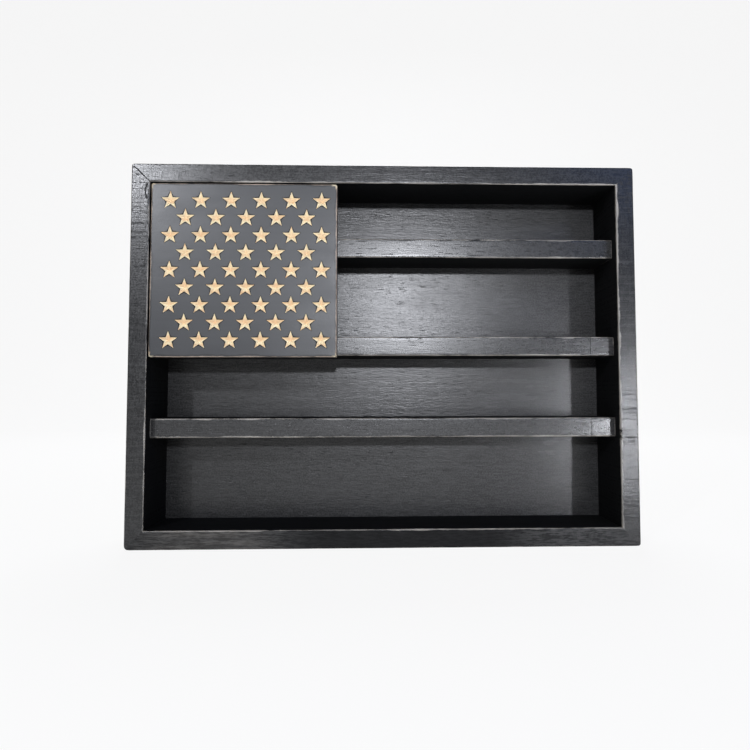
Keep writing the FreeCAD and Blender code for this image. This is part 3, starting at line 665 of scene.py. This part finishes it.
def star_wood_and_shade(paint, front):
    """Raw wood of the carved stars, pale where the cut faces up; painted shade turns it to the darker grain
    colour where the cut faces down, most deep down.
    """
    graph = Surface("raw_star_wood")
    grain = wood_grain(graph, graph.spot)
    depth = graph.minus(graph.axes(graph.spot)["Y"], front)
    # Painted shade: facets that face down, and deeper parts of the cut, take the darker grain colour.
    deep = graph.remap(depth, STAR_SHADE_FROM, STAR_SHADE_WHOLLY, 0.25, 1.0)
    facing = graph.axes(graph.add("ShaderNodeNewGeometry").outputs["True Normal"])
    painted_shade = graph.times(deep, graph.remap(facing["Z"], -0.5, 0.2, 0.8, 0.0))
    colour = graph.blend(painted_shade, bare_colour(graph, paint, grain), rgba(paint.bare_grain_and_shade))
    sheen = graph.muladd(grain["Fibre"], 0.2, 0.55)
    height = graph.muladd(grain["Pores"], PORE_HEIGHT, grain["Fibre"])
    return graph.dress(colour, sheen, height, PAINT_RELIEF)


def star_outline(paint):
    """Near-black line round each star."""
    graph = Surface("dark_star_outline")
    patches = smudges(graph, graph.spot)
    colour = graph.blend(patches["Speckle"], PORE_BLACK, rgba(paint.black))
    sheen = graph.muladd(patches["Broad"], 0.06, paint.matt)
    return graph.dress(colour, sheen, patches["Speckle"], PAINT_RELIEF, OUTLINE_GLOSS)


def plated_steel(name, paint, painted_share):
    """Zinc-plated steel with fine scratches, partly under black paint."""
    graph = Surface(name)
    scratches = graph.drawn_noise(graph.spot, (2500, 2500, 90), 3.0, 0.7)
    spangle = graph.noise(graph.spot, 260.0, 3.0, 0.6)
    covered = graph.remap(graph.noise(graph.spot, 900.0, 2.0), 1.0 - painted_share, 1.12 - painted_share)
    metal = graph.blend(graph.remap(spangle, 0.3, 0.7), rgba(paint.steel, 0.6), rgba(paint.steel))
    colour = graph.blend(covered, metal, rgba(paint.black))
    graph.feed(graph.sockets["Metallic"], graph.minus(1.0, covered))
    sheen = graph.muladd(scratches, 0.3, 0.22)
    return graph.dress(colour, sheen, graph.math("ADD", scratches, spangle), STEEL_RELIEF)


def dowel_wood(paint):
    """Plain turned hardwood of the dowels."""
    graph = Surface("dowel_wood")
    grain = wood_grain(graph, graph.mapped(graph.spot, turn=INWARD))
    sheen = graph.muladd(grain["Fibre"], 0.2, 0.5)
    return graph.dress(bare_colour(graph, paint, grain), sheen, grain["Fibre"], FINE_RELIEF)


def merged_copy(node):
    """A bmesh of a CAD node's solid with its loose triangles joined."""
    bm = bmesh.new()
    bm.from_mesh(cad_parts[node].data)
    bmesh.ops.remove_doubles(bm, verts=bm.verts, dist=MERGE_REACH)
    return bm


def of_kind(items, kind):
    """The corners, edges or faces among the pieces of a mesh."""
    return [item for item in items if isinstance(item, kind)]


def with_edges(faces):
    """Faces with their edges and corners, as a cut takes them."""
    edges = {edge for face in faces for edge in face.edges}
    return [*{vert for edge in edges for vert in edge.verts}, *edges, *faces]


def near_front(bm, front):
    """Everything of a mesh that lies in a band behind its front."""
    band = front + FRONT_BAND
    return with_edges([face for face in bm.faces if min(vert.co.y for vert in face.verts) < band])


def cut(bm, geometry, point, normal):
    """Cut part of a mesh with a plane and give back that part with its new pieces."""
    return bmesh.ops.bisect_plane(bm, geom=geometry, dist=ON_PLANE, plane_co=point, plane_no=normal)["geom"]


def cut_steps(bm, geometry, low, high, along, extra=()):
    """Cut part of a mesh across its length in even steps, and at extra places."""
    start = low.dot(along)
    length = high.dot(along) - start
    count = round(length / CUT_STEP)
    for place in [start + length * step / count for step in range(1, count)] + list(extra):
        geometry = cut(bm, geometry, along * place, along)


def cut_front(bm, front, low, high, along, extra):
    """Part the front of a board from the rest and cut it across its length."""
    cut(bm, near_front(bm, front), Vector((0, front + FRONT_BAND, 0)), Y_AXIS)
    cut_steps(bm, near_front(bm, front), low, high, along, extra)


def worn_share(run, seed):
    """How much an edge is worn at a place along it: long sags with nicks in them."""
    sag = noise.noise((run / SAG_LENGTH, seed, 0.0))
    nick = noise.noise((run / NICK_LENGTH, seed, NICK_ROW))
    return max(0.0, SAG_LEVEL + SAG_SWING * sag) + max(0.0, NICK_SWING * (nick - NICK_LEVEL))


def near_edge(bm, point, along, reach):
    """Points of a mesh near an edge, with how near each is: 1 on the edge and 0 out of reach."""
    for vert in bm.verts:
        offset = vert.co - point
        offset -= along * offset.dot(along)
        near = 1.0 - offset.length / reach
        if near > 0.0:
            yield vert, near


def wear(bm, point, along, inward, depth, seed):
    """Sand an edge down unevenly: points near it move into the wood."""
    for vert, near in near_edge(bm, point, along, WEAR_REACH):
        vert.co += inward.normalized() * (depth * near * worn_share(vert.co.dot(along), seed))


def knock(bm, point, along, inward, reach, depth):
    """Round an edge further, evenly along it."""
    for vert, near in near_edge(bm, point, along, reach):
        vert.co += inward.normalized() * depth * near * near


def add_mesh(bm, name, materials):
    """Make a bmesh into a smooth object in the scene."""
    bmesh.ops.recalc_face_normals(bm, faces=bm.faces)
    mesh = bpy.data.meshes.new(name)
    bm.to_mesh(mesh)
    bm.free()
    for material in materials:
        mesh.materials.append(material)
    mesh.polygons.foreach_set("use_smooth", [True] * len(mesh.polygons))
    return add_object(name, mesh)


def add_object(name, data):
    """Put new data into the scene as an object."""
    added = bpy.data.objects.new(name, data)
    bpy.context.scene.collection.objects.link(added)
    return added


def finish_piece(bm, name, node, materials):
    """Make a worked copy into the piece that stands for its CAD node."""
    piece = add_mesh(bm, name, materials)
    mesh = piece.data
    old_normals = mesh.attributes.get("custom_normal")
    if old_normals:
        mesh.attributes.remove(old_normals)
    mesh.set_sharp_from_angle(angle=SHARP_ANGLE)
    piece.modifiers.new("Even flats", "WEIGHTED_NORMAL").keep_sharp = True
    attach(piece, BODY)
    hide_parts(node)


def closed_runs(edges):
    """Groups of edges that hang together."""
    left = set(edges)
    for first in edges:
        if first in left:
            left.remove(first)
            run = [first]
            for edge in run:
                near = [other for vert in edge.verts for other in vert.link_edges if other in left]
                left.difference_update(near)
                run.extend(near)
            yield run


def give_material(node, material):
    """Give a CAD node that keeps its own shape a finished material."""
    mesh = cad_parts[node].data
    mesh.materials.clear()
    mesh.materials.append(material)


def opened(low, high, *ways):
    """A box with its sides moved far out, but for its front and those in the given ways, whose edges wear."""
    parts = list(zip(-Y_AXIS, *ways))
    new_low = [side if min(part) < 0 else side - FAR_SIDE for side, part in zip(low, parts)]
    new_high = [side if max(part) > 0 else side + FAR_SIDE for side, part in zip(high, parts)]
    return tuple(new_low), tuple(new_high)


class CASE_OT_outer_boards(bpy.types.Operator):
    """Four mitred boards with worn inner edges, knocked corners and paint over their seams"""

    bl_idname = "case.outer_boards"
    bl_label = "Outer Boards"

    def execute(self, context):
        for seed, node in enumerate(OUTER_BOARDS):
            self.make_board(context.scene, node, seed)
        return {"FINISHED"}

    def make_board(self, scene, node, seed):
        worn = scene.case_wear
        low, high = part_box(node)
        inside = OUTER_BOARDS[node][0]
        upright = inside.z == 0
        along = Z_AXIS if upright else X_AXIS
        bm = merged_copy(node)
        ends = (low.dot(along), high.dot(along))
        extra = [ends[0] + step for step in CORNER_CUTS] + [ends[1] - step for step in CORNER_CUTS]
        levels = CHIP_LEVELS if node == "frame_right_board" else ()
        for level in levels:
            extra += (level - CHIP_HALF, level, level + CHIP_HALF)
        cut_front(bm, CASE_FRONT, low, high, along, extra)
        half_thick = abs((high - low).dot(inside)) / 2
        edge = (low + high) / 2 + inside * half_thick
        edge.y = CASE_FRONT
        outer = edge - inside * (2 * half_thick)
        for point in (edge - inside * WEAR_REACH, outer + inside * WEAR_REACH):
            cut(bm, near_front(bm, CASE_FRONT), point, inside)
        wear(bm, edge, along, Y_AXIS - inside, worn.edge_depth, seed)
        wear(bm, outer, along, Y_AXIS + inside, worn.edge_depth / 2, seed + OUTER_EDGE_SEED)
        slant = (Y_AXIS - inside).normalized()
        chips = [Vector((edge.x, CASE_FRONT, level)) for level in levels]
        for chip in chips:
            knock(bm, chip, slant, slant, CHIP_REACH, CHIP_DEPTH)
        self.open_seams(bm, along, worn)
        self.round_corners(bm, worn)
        for face in bm.faces:
            face.material_index = int(face.normal.dot(inside) > INNER_FACING)
        paints = self.paints(scene, node, low, high, upright, seed, chips)
        finish_piece(bm, node.replace("frame", "painted"), node, paints)

    def round_corners(self, bm, worn):
        """Wear the case's corners round, and the lower left one, which was knocked, a little more."""
        for side, inward in ((CASE_LOW.x, X_AXIS), (CASE_HIGH.x, -X_AXIS)):
            for level, upward in ((CASE_LOW.z, Z_AXIS), (CASE_HIGH.z, -Z_AXIS)):
                knocked = side < 0 and level == CASE_LOW.z
                depth = worn.knocked_depth if knocked else worn.corner_depth
                knock(bm, Vector((side, 0, level)), Y_AXIS, inward + upward, CORNER_REACH, depth)

    def open_seams(self, bm, along, worn):
        """Draw the front of each mitre back along the board."""
        half = (CASE_HIGH - CASE_LOW) / 2
        for vert in bm.verts:
            place = vert.co - CASE_MIDDLE
            from_side = half.x - abs(place.x)
            from_level = half.z - abs(place.z)
            if abs(from_side - from_level) < ON_PLANE and vert.co.y < CASE_FRONT + SEAM_DEPTH:
                upper_left = place.x < 0 and place.z > 0
                width = worn.open_seam if upper_left else worn.closed_seam
                width *= math.sin(math.pi * from_side / SEAM_SPAN)
                vert.co -= along * math.copysign(width, place.dot(along))

    def paints(self, scene, node, low, high, upright, seed, chips):
        """Satin paint for the board's outside and dull paint for its inner face."""
        paint, worn = scene.case_paint, scene.case_wear
        inside, share = OUTER_BOARDS[node]
        inner = (*opened(low, high, inside), worn.board_reach * share)
        outer = (*opened(low, high, -inside), worn.outer_reach)
        shift = tuple(seed * part for part in BOARD_SHIFT)
        run = GrainRun(UPRIGHT if upright else LEVEL, shift, sawn=upright)
        name = node.replace("frame_", "")
        knot = (KNOT_PLACE, KNOT_REACH) if node == "frame_left_board" else None
        lowest = node == "frame_bottom_board"
        satin = LOW_SATIN if lowest else SATIN
        calm = CALM_STRETCH if lowest else None
        return (
            painted_wood("black_" + name, paint, satin, run, (inner, outer), None, knot, chips, calm),
            painted_wood("dull_" + name, paint, DULL, run, (inner,), chips=chips),
        )


class CASE_OT_shelves(bpy.types.Operator):
    """Three shelves with rubbed front edges, two of them with a glued joint near the right end"""

    bl_idname = "case.shelves"
    bl_label = "Shelves"

    def execute(self, context):
        for seed, node in enumerate(SHELVES, start=SHELF_SEED):
            self.make_shelf(context.scene, node, seed)
        return {"FINISHED"}

    def make_shelf(self, scene, node, seed):
        paint, worn = scene.case_paint, scene.case_wear
        low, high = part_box(node)
        joint = high.x - worn.joint_place
        ends = (low.x + SHELF_END_CUT, high.x - SHELF_END_CUT)
        bm = merged_copy(node)
        cut_front(bm, SHELF_FRONT, low, high, X_AXIS, (joint - JOINT_HALF, joint, joint + JOINT_HALF, *ends))
        for place in (low.z + WEAR_REACH, high.z - WEAR_REACH):
            cut(bm, near_front(bm, SHELF_FRONT), Z_AXIS * place, Z_AXIS)
        lower, upper = (Vector((0, SHELF_FRONT, level)) for level in (low.z, high.z))
        wear(bm, lower, X_AXIS, Y_AXIS + Z_AXIS, worn.edge_depth, seed)
        wear(bm, upper, X_AXIS, Y_AXIS - Z_AXIS, worn.edge_depth, seed + UPPER_EDGE_SEED)
        if node in JOINTED_SHELVES:
            self.open_joint(bm, joint, (low.z + high.z) / 2)
        bm.normal_update()
        for face in bm.faces:
            face.material_index = int(face.normal.y > FRONT_FACING)
        ease = X_AXIS * SHELF_END_EASE
        edges = (*opened(low - ease, high + ease, *SIDES), worn.shelf_reach)
        run = GrainRun(LEVEL, tuple(seed * part for part in SHELF_SHIFT), sawn=False)
        paints = [
            painted_wood(coat + node, paint, finish, run, (edges,), (low.x, high.x))
            for coat, finish in (("black_", SHELF_SATIN), ("dull_", DULL))
        ]
        finish_piece(bm, "painted_" + node, node, paints)

    def open_joint(self, bm, joint, middle):
        """Draw the front of the glued joint back, further at the shelf's edges than between them."""
        for vert in bm.verts:
            if abs(vert.co.x - joint) < ON_PLANE and vert.co.y < SHELF_FRONT + FRONT_BAND / 2:
                between = abs(vert.co.z - middle) < JOINT_HALF_HEIGHT
                vert.co.y += JOINT_MIDDLE_DEPTH if between else JOINT_DEPTH


class CASE_OT_back_panel(bpy.types.Operator):
    """Plywood back under the same black paint, with its grain across and its rear bare"""

    bl_idname = "case.back_panel"
    bl_label = "Back Panel"

    def execute(self, context):
        run = GrainRun(LEVEL, BACK_SHIFT, sawn=False)
        paint = context.scene.case_paint
        plywood = painted_wood("black_plywood", paint, BACK_SATIN, run, bare_rear=BACK_REAR)
        give_material("back_panel", plywood)
        return {"FINISHED"}


class CASE_OT_star_panel(bpy.types.Operator):
    """Charcoal panel with worn edges and fifty stars carved down to raw wood, with painted shade on the
    stars' downward facets
    """

    bl_idname = "case.star_panel"
    bl_label = "Star Panel"

    def execute(self, context):
        paint, worn = context.scene.case_paint, context.scene.case_wear
        bm = merged_copy("star_panel")
        for face in bm.faces:
            face.material_index = int(self.is_carved(face))
        self.cut_rim(bm)
        self.outline_stars(bm)
        for seed, inward in enumerate(SIDES, start=PANEL_SEED):
            corner = PANEL_LOW if max(inward) > 0 else PANEL_HIGH
            point = Vector((corner.x * abs(inward.x), PANEL_LOW.y, corner.z * abs(inward.z)))
            wear(bm, point, X_AXIS if inward.z else Z_AXIS, Y_AXIS + inward, worn.edge_depth, seed)
        charcoal = panel_paint(paint, *opened(PANEL_LOW, PANEL_HIGH, *SIDES), worn.panel_reach)
        materials = (charcoal, star_wood_and_shade(paint, PANEL_LOW.y), star_outline(paint))
        finish_piece(bm, "carved_star_panel", "star_panel", materials)
        return {"FINISHED"}

    def is_carved(self, face):
        """Whether a face is a facet of a star: behind the front, tilted to it and clear of the rim."""
        place = face.calc_center_median()
        behind = place.y > PANEL_LOW.y + CARVED_BELOW
        return self.in_field(place) and behind and face.normal.y < CARVED_TILT

    def in_field(self, place):
        """Whether a place lies in the carved field, clear of the rim."""
        clear_x = PANEL_LOW.x + STAR_CLEAR < place.x < PANEL_HIGH.x - STAR_CLEAR
        return clear_x and PANEL_LOW.z + STAR_CLEAR < place.z < PANEL_HIGH.z - STAR_CLEAR

    def cut_rim(self, bm):
        """Part the rim from the carved field and cut it in steps, and leave the field as it is."""
        everything = [*bm.verts, *bm.edges, *bm.faces]
        for axis in (X_AXIS, Z_AXIS):
            for place in (PANEL_LOW.dot(axis) + STAR_CLEAR, PANEL_HIGH.dot(axis) - STAR_CLEAR):
                everything = cut(bm, everything, axis * place, axis)
        for axis in (X_AXIS, Z_AXIS):
            rim = [face for face in bm.faces if not self.in_field(face.calc_center_median())]
            cut_steps(bm, with_edges(rim), PANEL_LOW, PANEL_HIGH, axis)

    def outline_stars(self, bm):
        """Fill the flat of the field again, with a band for the dark line round each star."""
        flat = []
        for face in bm.faces:
            place = face.calc_center_median()
            on_front = place.y < PANEL_LOW.y + ON_PLANE
            if on_front and not face.material_index and self.in_field(place):
                flat.append(face)
        bmesh.ops.delete(bm, geom=flat, context="FACES")
        rims = [edge for edge in bm.edges if edge.is_boundary and edge.link_faces[0].material_index]
        for star in list(closed_runs(rims)):
            band = bmesh.ops.extrude_edge_only(bm, edges=star)["geom"]
            verts = of_kind(band, BMVert)
            centre = sum((vert.co for vert in verts), Vector()) / len(verts)
            far = max((vert.co - centre).length for vert in verts)
            for vert in verts:
                arm = vert.co - centre
                tip = arm.length > STAR_TIP_SHARE * far
                vert.co = centre + arm * (STAR_TIP_OUTLINE if tip else STAR_NOTCH_OUTLINE)
            for face in of_kind(band, BMFace):
                face.material_index = OUTLINE_SLOT
        rims = [edge for edge in bm.edges if edge.is_boundary]
        bmesh.ops.triangle_fill(bm, use_beauty=True, edges=rims, normal=-Y_AXIS)


class CASE_OT_fixings(bpy.types.Operator):
    """Nails under worn paint and the dowels behind the star panel"""

    bl_idname = "case.fixings"
    bl_label = "Nails and Dowels"

    def execute(self, context):
        paint = context.scene.case_paint
        nails = plated_steel("painted_nail_steel", paint, NAIL_PAINT)
        for node in NAILS:
            give_material(node, nails)
        give_material("star_panel_dowels", dowel_wood(paint))
        return {"FINISHED"}


class CASE_OT_hangers(bpy.types.Operator):
    """Keyhole plates in the rear edges, and their cross-head screws"""

    bl_idname = "case.hangers"
    bl_label = "Hangers"

    def execute(self, context):
        steel = plated_steel("zinc_plated_steel", context.scene.case_paint, HANGER_PAINT)
        for node in HANGER_PLATES:
            give_material(node, steel)
        self.make_screws(steel)
        return {"FINISHED"}

    def make_screws(self, steel):
        """Ease each screw in its hole and cut a cross recess into its head."""
        bm = merged_copy("hanger_screws")
        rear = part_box("hanger_screws")[1].y
        tops = [face for face in bm.faces if face.calc_center_median().y > rear - ON_PLANE]
        heads = bmesh.ops.dissolve_faces(bm, faces=tops)["region"]
        centres = [head.calc_center_median() for head in heads]
        for vert in bm.verts:
            centre = min(centres, key=lambda place: (place - vert.co).length)
            vert.co.x = centre.x + SCREW_FIT * (vert.co.x - centre.x)
            vert.co.z = centre.z + SCREW_FIT * (vert.co.z - centre.z)
        for centre in centres:
            self.cut_cross(bm, centre)
        finish_piece(bm, "cross_head_screws", "hanger_screws", (steel,))

    def cut_cross(self, bm, centre):
        """Sink a tapered cross into the head at one place."""
        head = min(bm.faces, key=lambda face: (face.calc_center_median() - centre).length)
        geometry = with_edges([head])
        for axis in (X_AXIS, Z_AXIS):
            for reach in (-RECESS_ARM, -RECESS_HALF, RECESS_HALF, RECESS_ARM):
                geometry = cut(bm, geometry, centre + axis * reach, axis)
        cross = []
        for face in of_kind(geometry, BMFace):
            place = face.calc_center_median() - centre
            narrow, wide = sorted((abs(place.x), abs(place.z)))
            if wide < RECESS_ARM and narrow < RECESS_HALF:
                cross.append(face)
        verts = of_kind(bmesh.ops.extrude_face_region(bm, geom=cross)["geom"], BMVert)
        bmesh.ops.translate(bm, verts=verts, vec=-Y_AXIS * RECESS_DEPTH)
        taper = (RECESS_TAPER, 1, RECESS_TAPER)
        bmesh.ops.scale(bm, vec=taper, space=Matrix.Translation(-centre), verts=verts)
        bmesh.ops.delete(bm, geom=cross, context="FACES")


class CASE_OT_studio(bpy.types.Operator):
    """Pale sweep, soft lamps, even room light and the camera"""

    bl_idname = "case.studio"
    bl_label = "Studio"

    def execute(self, context):
        scene = context.scene
        self.make_sweep()
        self.light_room(scene)
        studio = scene.case_studio
        lamps = (
            Lamp("main_lamp", studio.main_power, (0.086, -2.045, 0.530), (0.07, 0.07)),
            Lamp("right_lamp", studio.right_power, (0.472, -0.645, 0.097), (0.03, 0.22), *RIGHT_BEAM),
            Lamp("left_lamp", studio.left_power, (-0.890, -1.845, 0.955), (0.06, 0.06)),
            Lamp("cool_lamp", studio.sky_power, (0.85, -1.1, 1.0), (0.7, 0.7), colour=COOL_SKY),
            Lamp("rear_lamp", studio.rear_power, (0.0, 1.7, 2.3), (1.6, 1.6), REAR_AIM),
        )
        for lamp in lamps:
            self.add_lamp(lamp)
        self.add_camera(scene)
        scene.view_settings.view_transform = "Standard"
        return {"FINISHED"}

    def make_sweep(self):
        """Floor that bends up into a backdrop far behind the case."""
        bm = bmesh.new()
        edge = bm.edges.new([bm.verts.new((side * SWEEP_HALF_WIDTH, SWEEP_FRONT, 0.0)) for side in (-1, 1)])
        floor = bmesh.ops.extrude_edge_only(bm, edges=[edge])["geom"]
        moved = of_kind(floor, BMVert)
        bmesh.ops.translate(bm, verts=moved, vec=(0, SWEEP_BACK - SWEEP_FRONT, 0))
        lead = [side for side in of_kind(floor, BMEdge) if all(vert in moved for vert in side.verts)]
        bend = bmesh.ops.spin(
            bm, geom=lead + moved, cent=(0, SWEEP_BACK, SWEEP_TURN), axis=X_AXIS, dvec=(0, 0, 0),
            angle=math.pi / 2, steps=SWEEP_STEPS, use_merge=False,
        )["geom_last"]
        wall = bmesh.ops.extrude_edge_only(bm, edges=of_kind(bend, BMEdge))["geom"]
        bmesh.ops.translate(bm, verts=of_kind(wall, BMVert), vec=Z_AXIS * SWEEP_RISE)
        sweep = add_mesh(bm, "studio_sweep", (self.sweep_material(),))

    def sweep_material(self):
        """White to the camera and in reflections, apart from a share that still takes shadows."""
        material = bpy.data.materials.new("pale_sweep")
        material.use_nodes = True
        graph = Graph(material.node_tree)
        material.node_tree.nodes.clear()
        surface = graph.add("ShaderNodeBsdfDiffuse")
        surface.inputs["Color"].default_value = SWEEP_COLOUR
        glow = graph.add("ShaderNodeEmission")
        rays = graph.add("ShaderNodeLightPath").outputs
        seen = graph.most(rays["Is Camera Ray"], rays["Is Glossy Ray"])
        seen = graph.most(seen, rays["Is Transmission Ray"])
        shares = {0: graph.times(seen, SWEEP_GLOW), 1: surface.outputs[0], 2: glow.outputs[0]}
        both = graph.place("ShaderNodeMixShader", shares)
        result = graph.add("ShaderNodeOutputMaterial")
        graph.feed(result.inputs["Surface"], both[0])
        return material

    def light_room(self, scene):
        world = bpy.data.worlds.new("studio_room")
        world.use_nodes = True
        backdrop = world.node_tree.nodes["Background"]
        backdrop.inputs["Color"].default_value = WHITE
        backdrop.inputs["Strength"].default_value = scene.case_studio.room_light
        scene.world = world

    def add_lamp(self, lamp):
        """Place one soft lamp, turned to what it lights."""
        data = bpy.data.lights.new(lamp.name, "AREA")
        data.shape = "RECTANGLE"
        data.size, data.size_y = lamp.size
        data.spread = lamp.spread
        data.energy = lamp.power
        data.color = lamp.colour
        added = add_object(lamp.name, data)
        added.location = lamp.place
        added.rotation_euler = (lamp.aim - Vector(lamp.place)).to_track_quat("-Z", "Y").to_euler()
        added.visible_camera = False

    def add_camera(self, scene):
        studio = scene.case_studio
        data = bpy.data.cameras.new("photo_camera")
        data.sensor_width = SENSOR_WIDTH
        data.lens = studio.camera_lens
        data.shift_x, data.shift_y = CAMERA_SHIFT
        scene.camera = add_object("photo_camera", data)
        scene.camera.location = studio.camera_place
        scene.camera.rotation_euler = studio.camera_turn


class CASE_PT_sidebar(bpy.types.Panel):
    """Lists the steps that finish the display shelf."""

    bl_label = "Display Shelf"
    bl_idname = "CASE_PT_sidebar"
    bl_space_type = "VIEW_3D"
    bl_region_type = "UI"
    bl_category = "Display Shelf"

    def draw(self, context):
        layout = self.layout
        for group in (context.scene.case_paint, context.scene.case_wear, context.scene.case_studio):
            box = layout.box()
            for name in group.__annotations__:
                box.prop(group, name)
        for step in STEPS:
            layout.operator(step.bl_idname)


GROUPS = {"case_paint": CasePaint, "case_wear": CaseWear, "case_studio": CaseStudio}
STEPS = (
    CASE_OT_outer_boards,
    CASE_OT_shelves,
    CASE_OT_back_panel,
    CASE_OT_star_panel,
    CASE_OT_fixings,
    CASE_OT_hangers,
    CASE_OT_studio,
)


def register():
    for kind in (*GROUPS.values(), *STEPS, CASE_PT_sidebar):
        bpy.utils.register_class(kind)
    for name, kind in GROUPS.items():
        setattr(bpy.types.Scene, name, PointerProperty(type=kind))


def unregister():
    for name in GROUPS:
        delattr(bpy.types.Scene, name)
    for kind in reversed((*GROUPS.values(), *STEPS, CASE_PT_sidebar)):
        bpy.utils.unregister_class(kind)


def main():
    register()
    bpy.ops.case.outer_boards()
    bpy.ops.case.shelves()
    bpy.ops.case.back_panel()
    bpy.ops.case.star_panel()
    bpy.ops.case.fixings()
    bpy.ops.case.hangers()
    bpy.ops.case.studio()


if __name__ == "__main__":
    main()
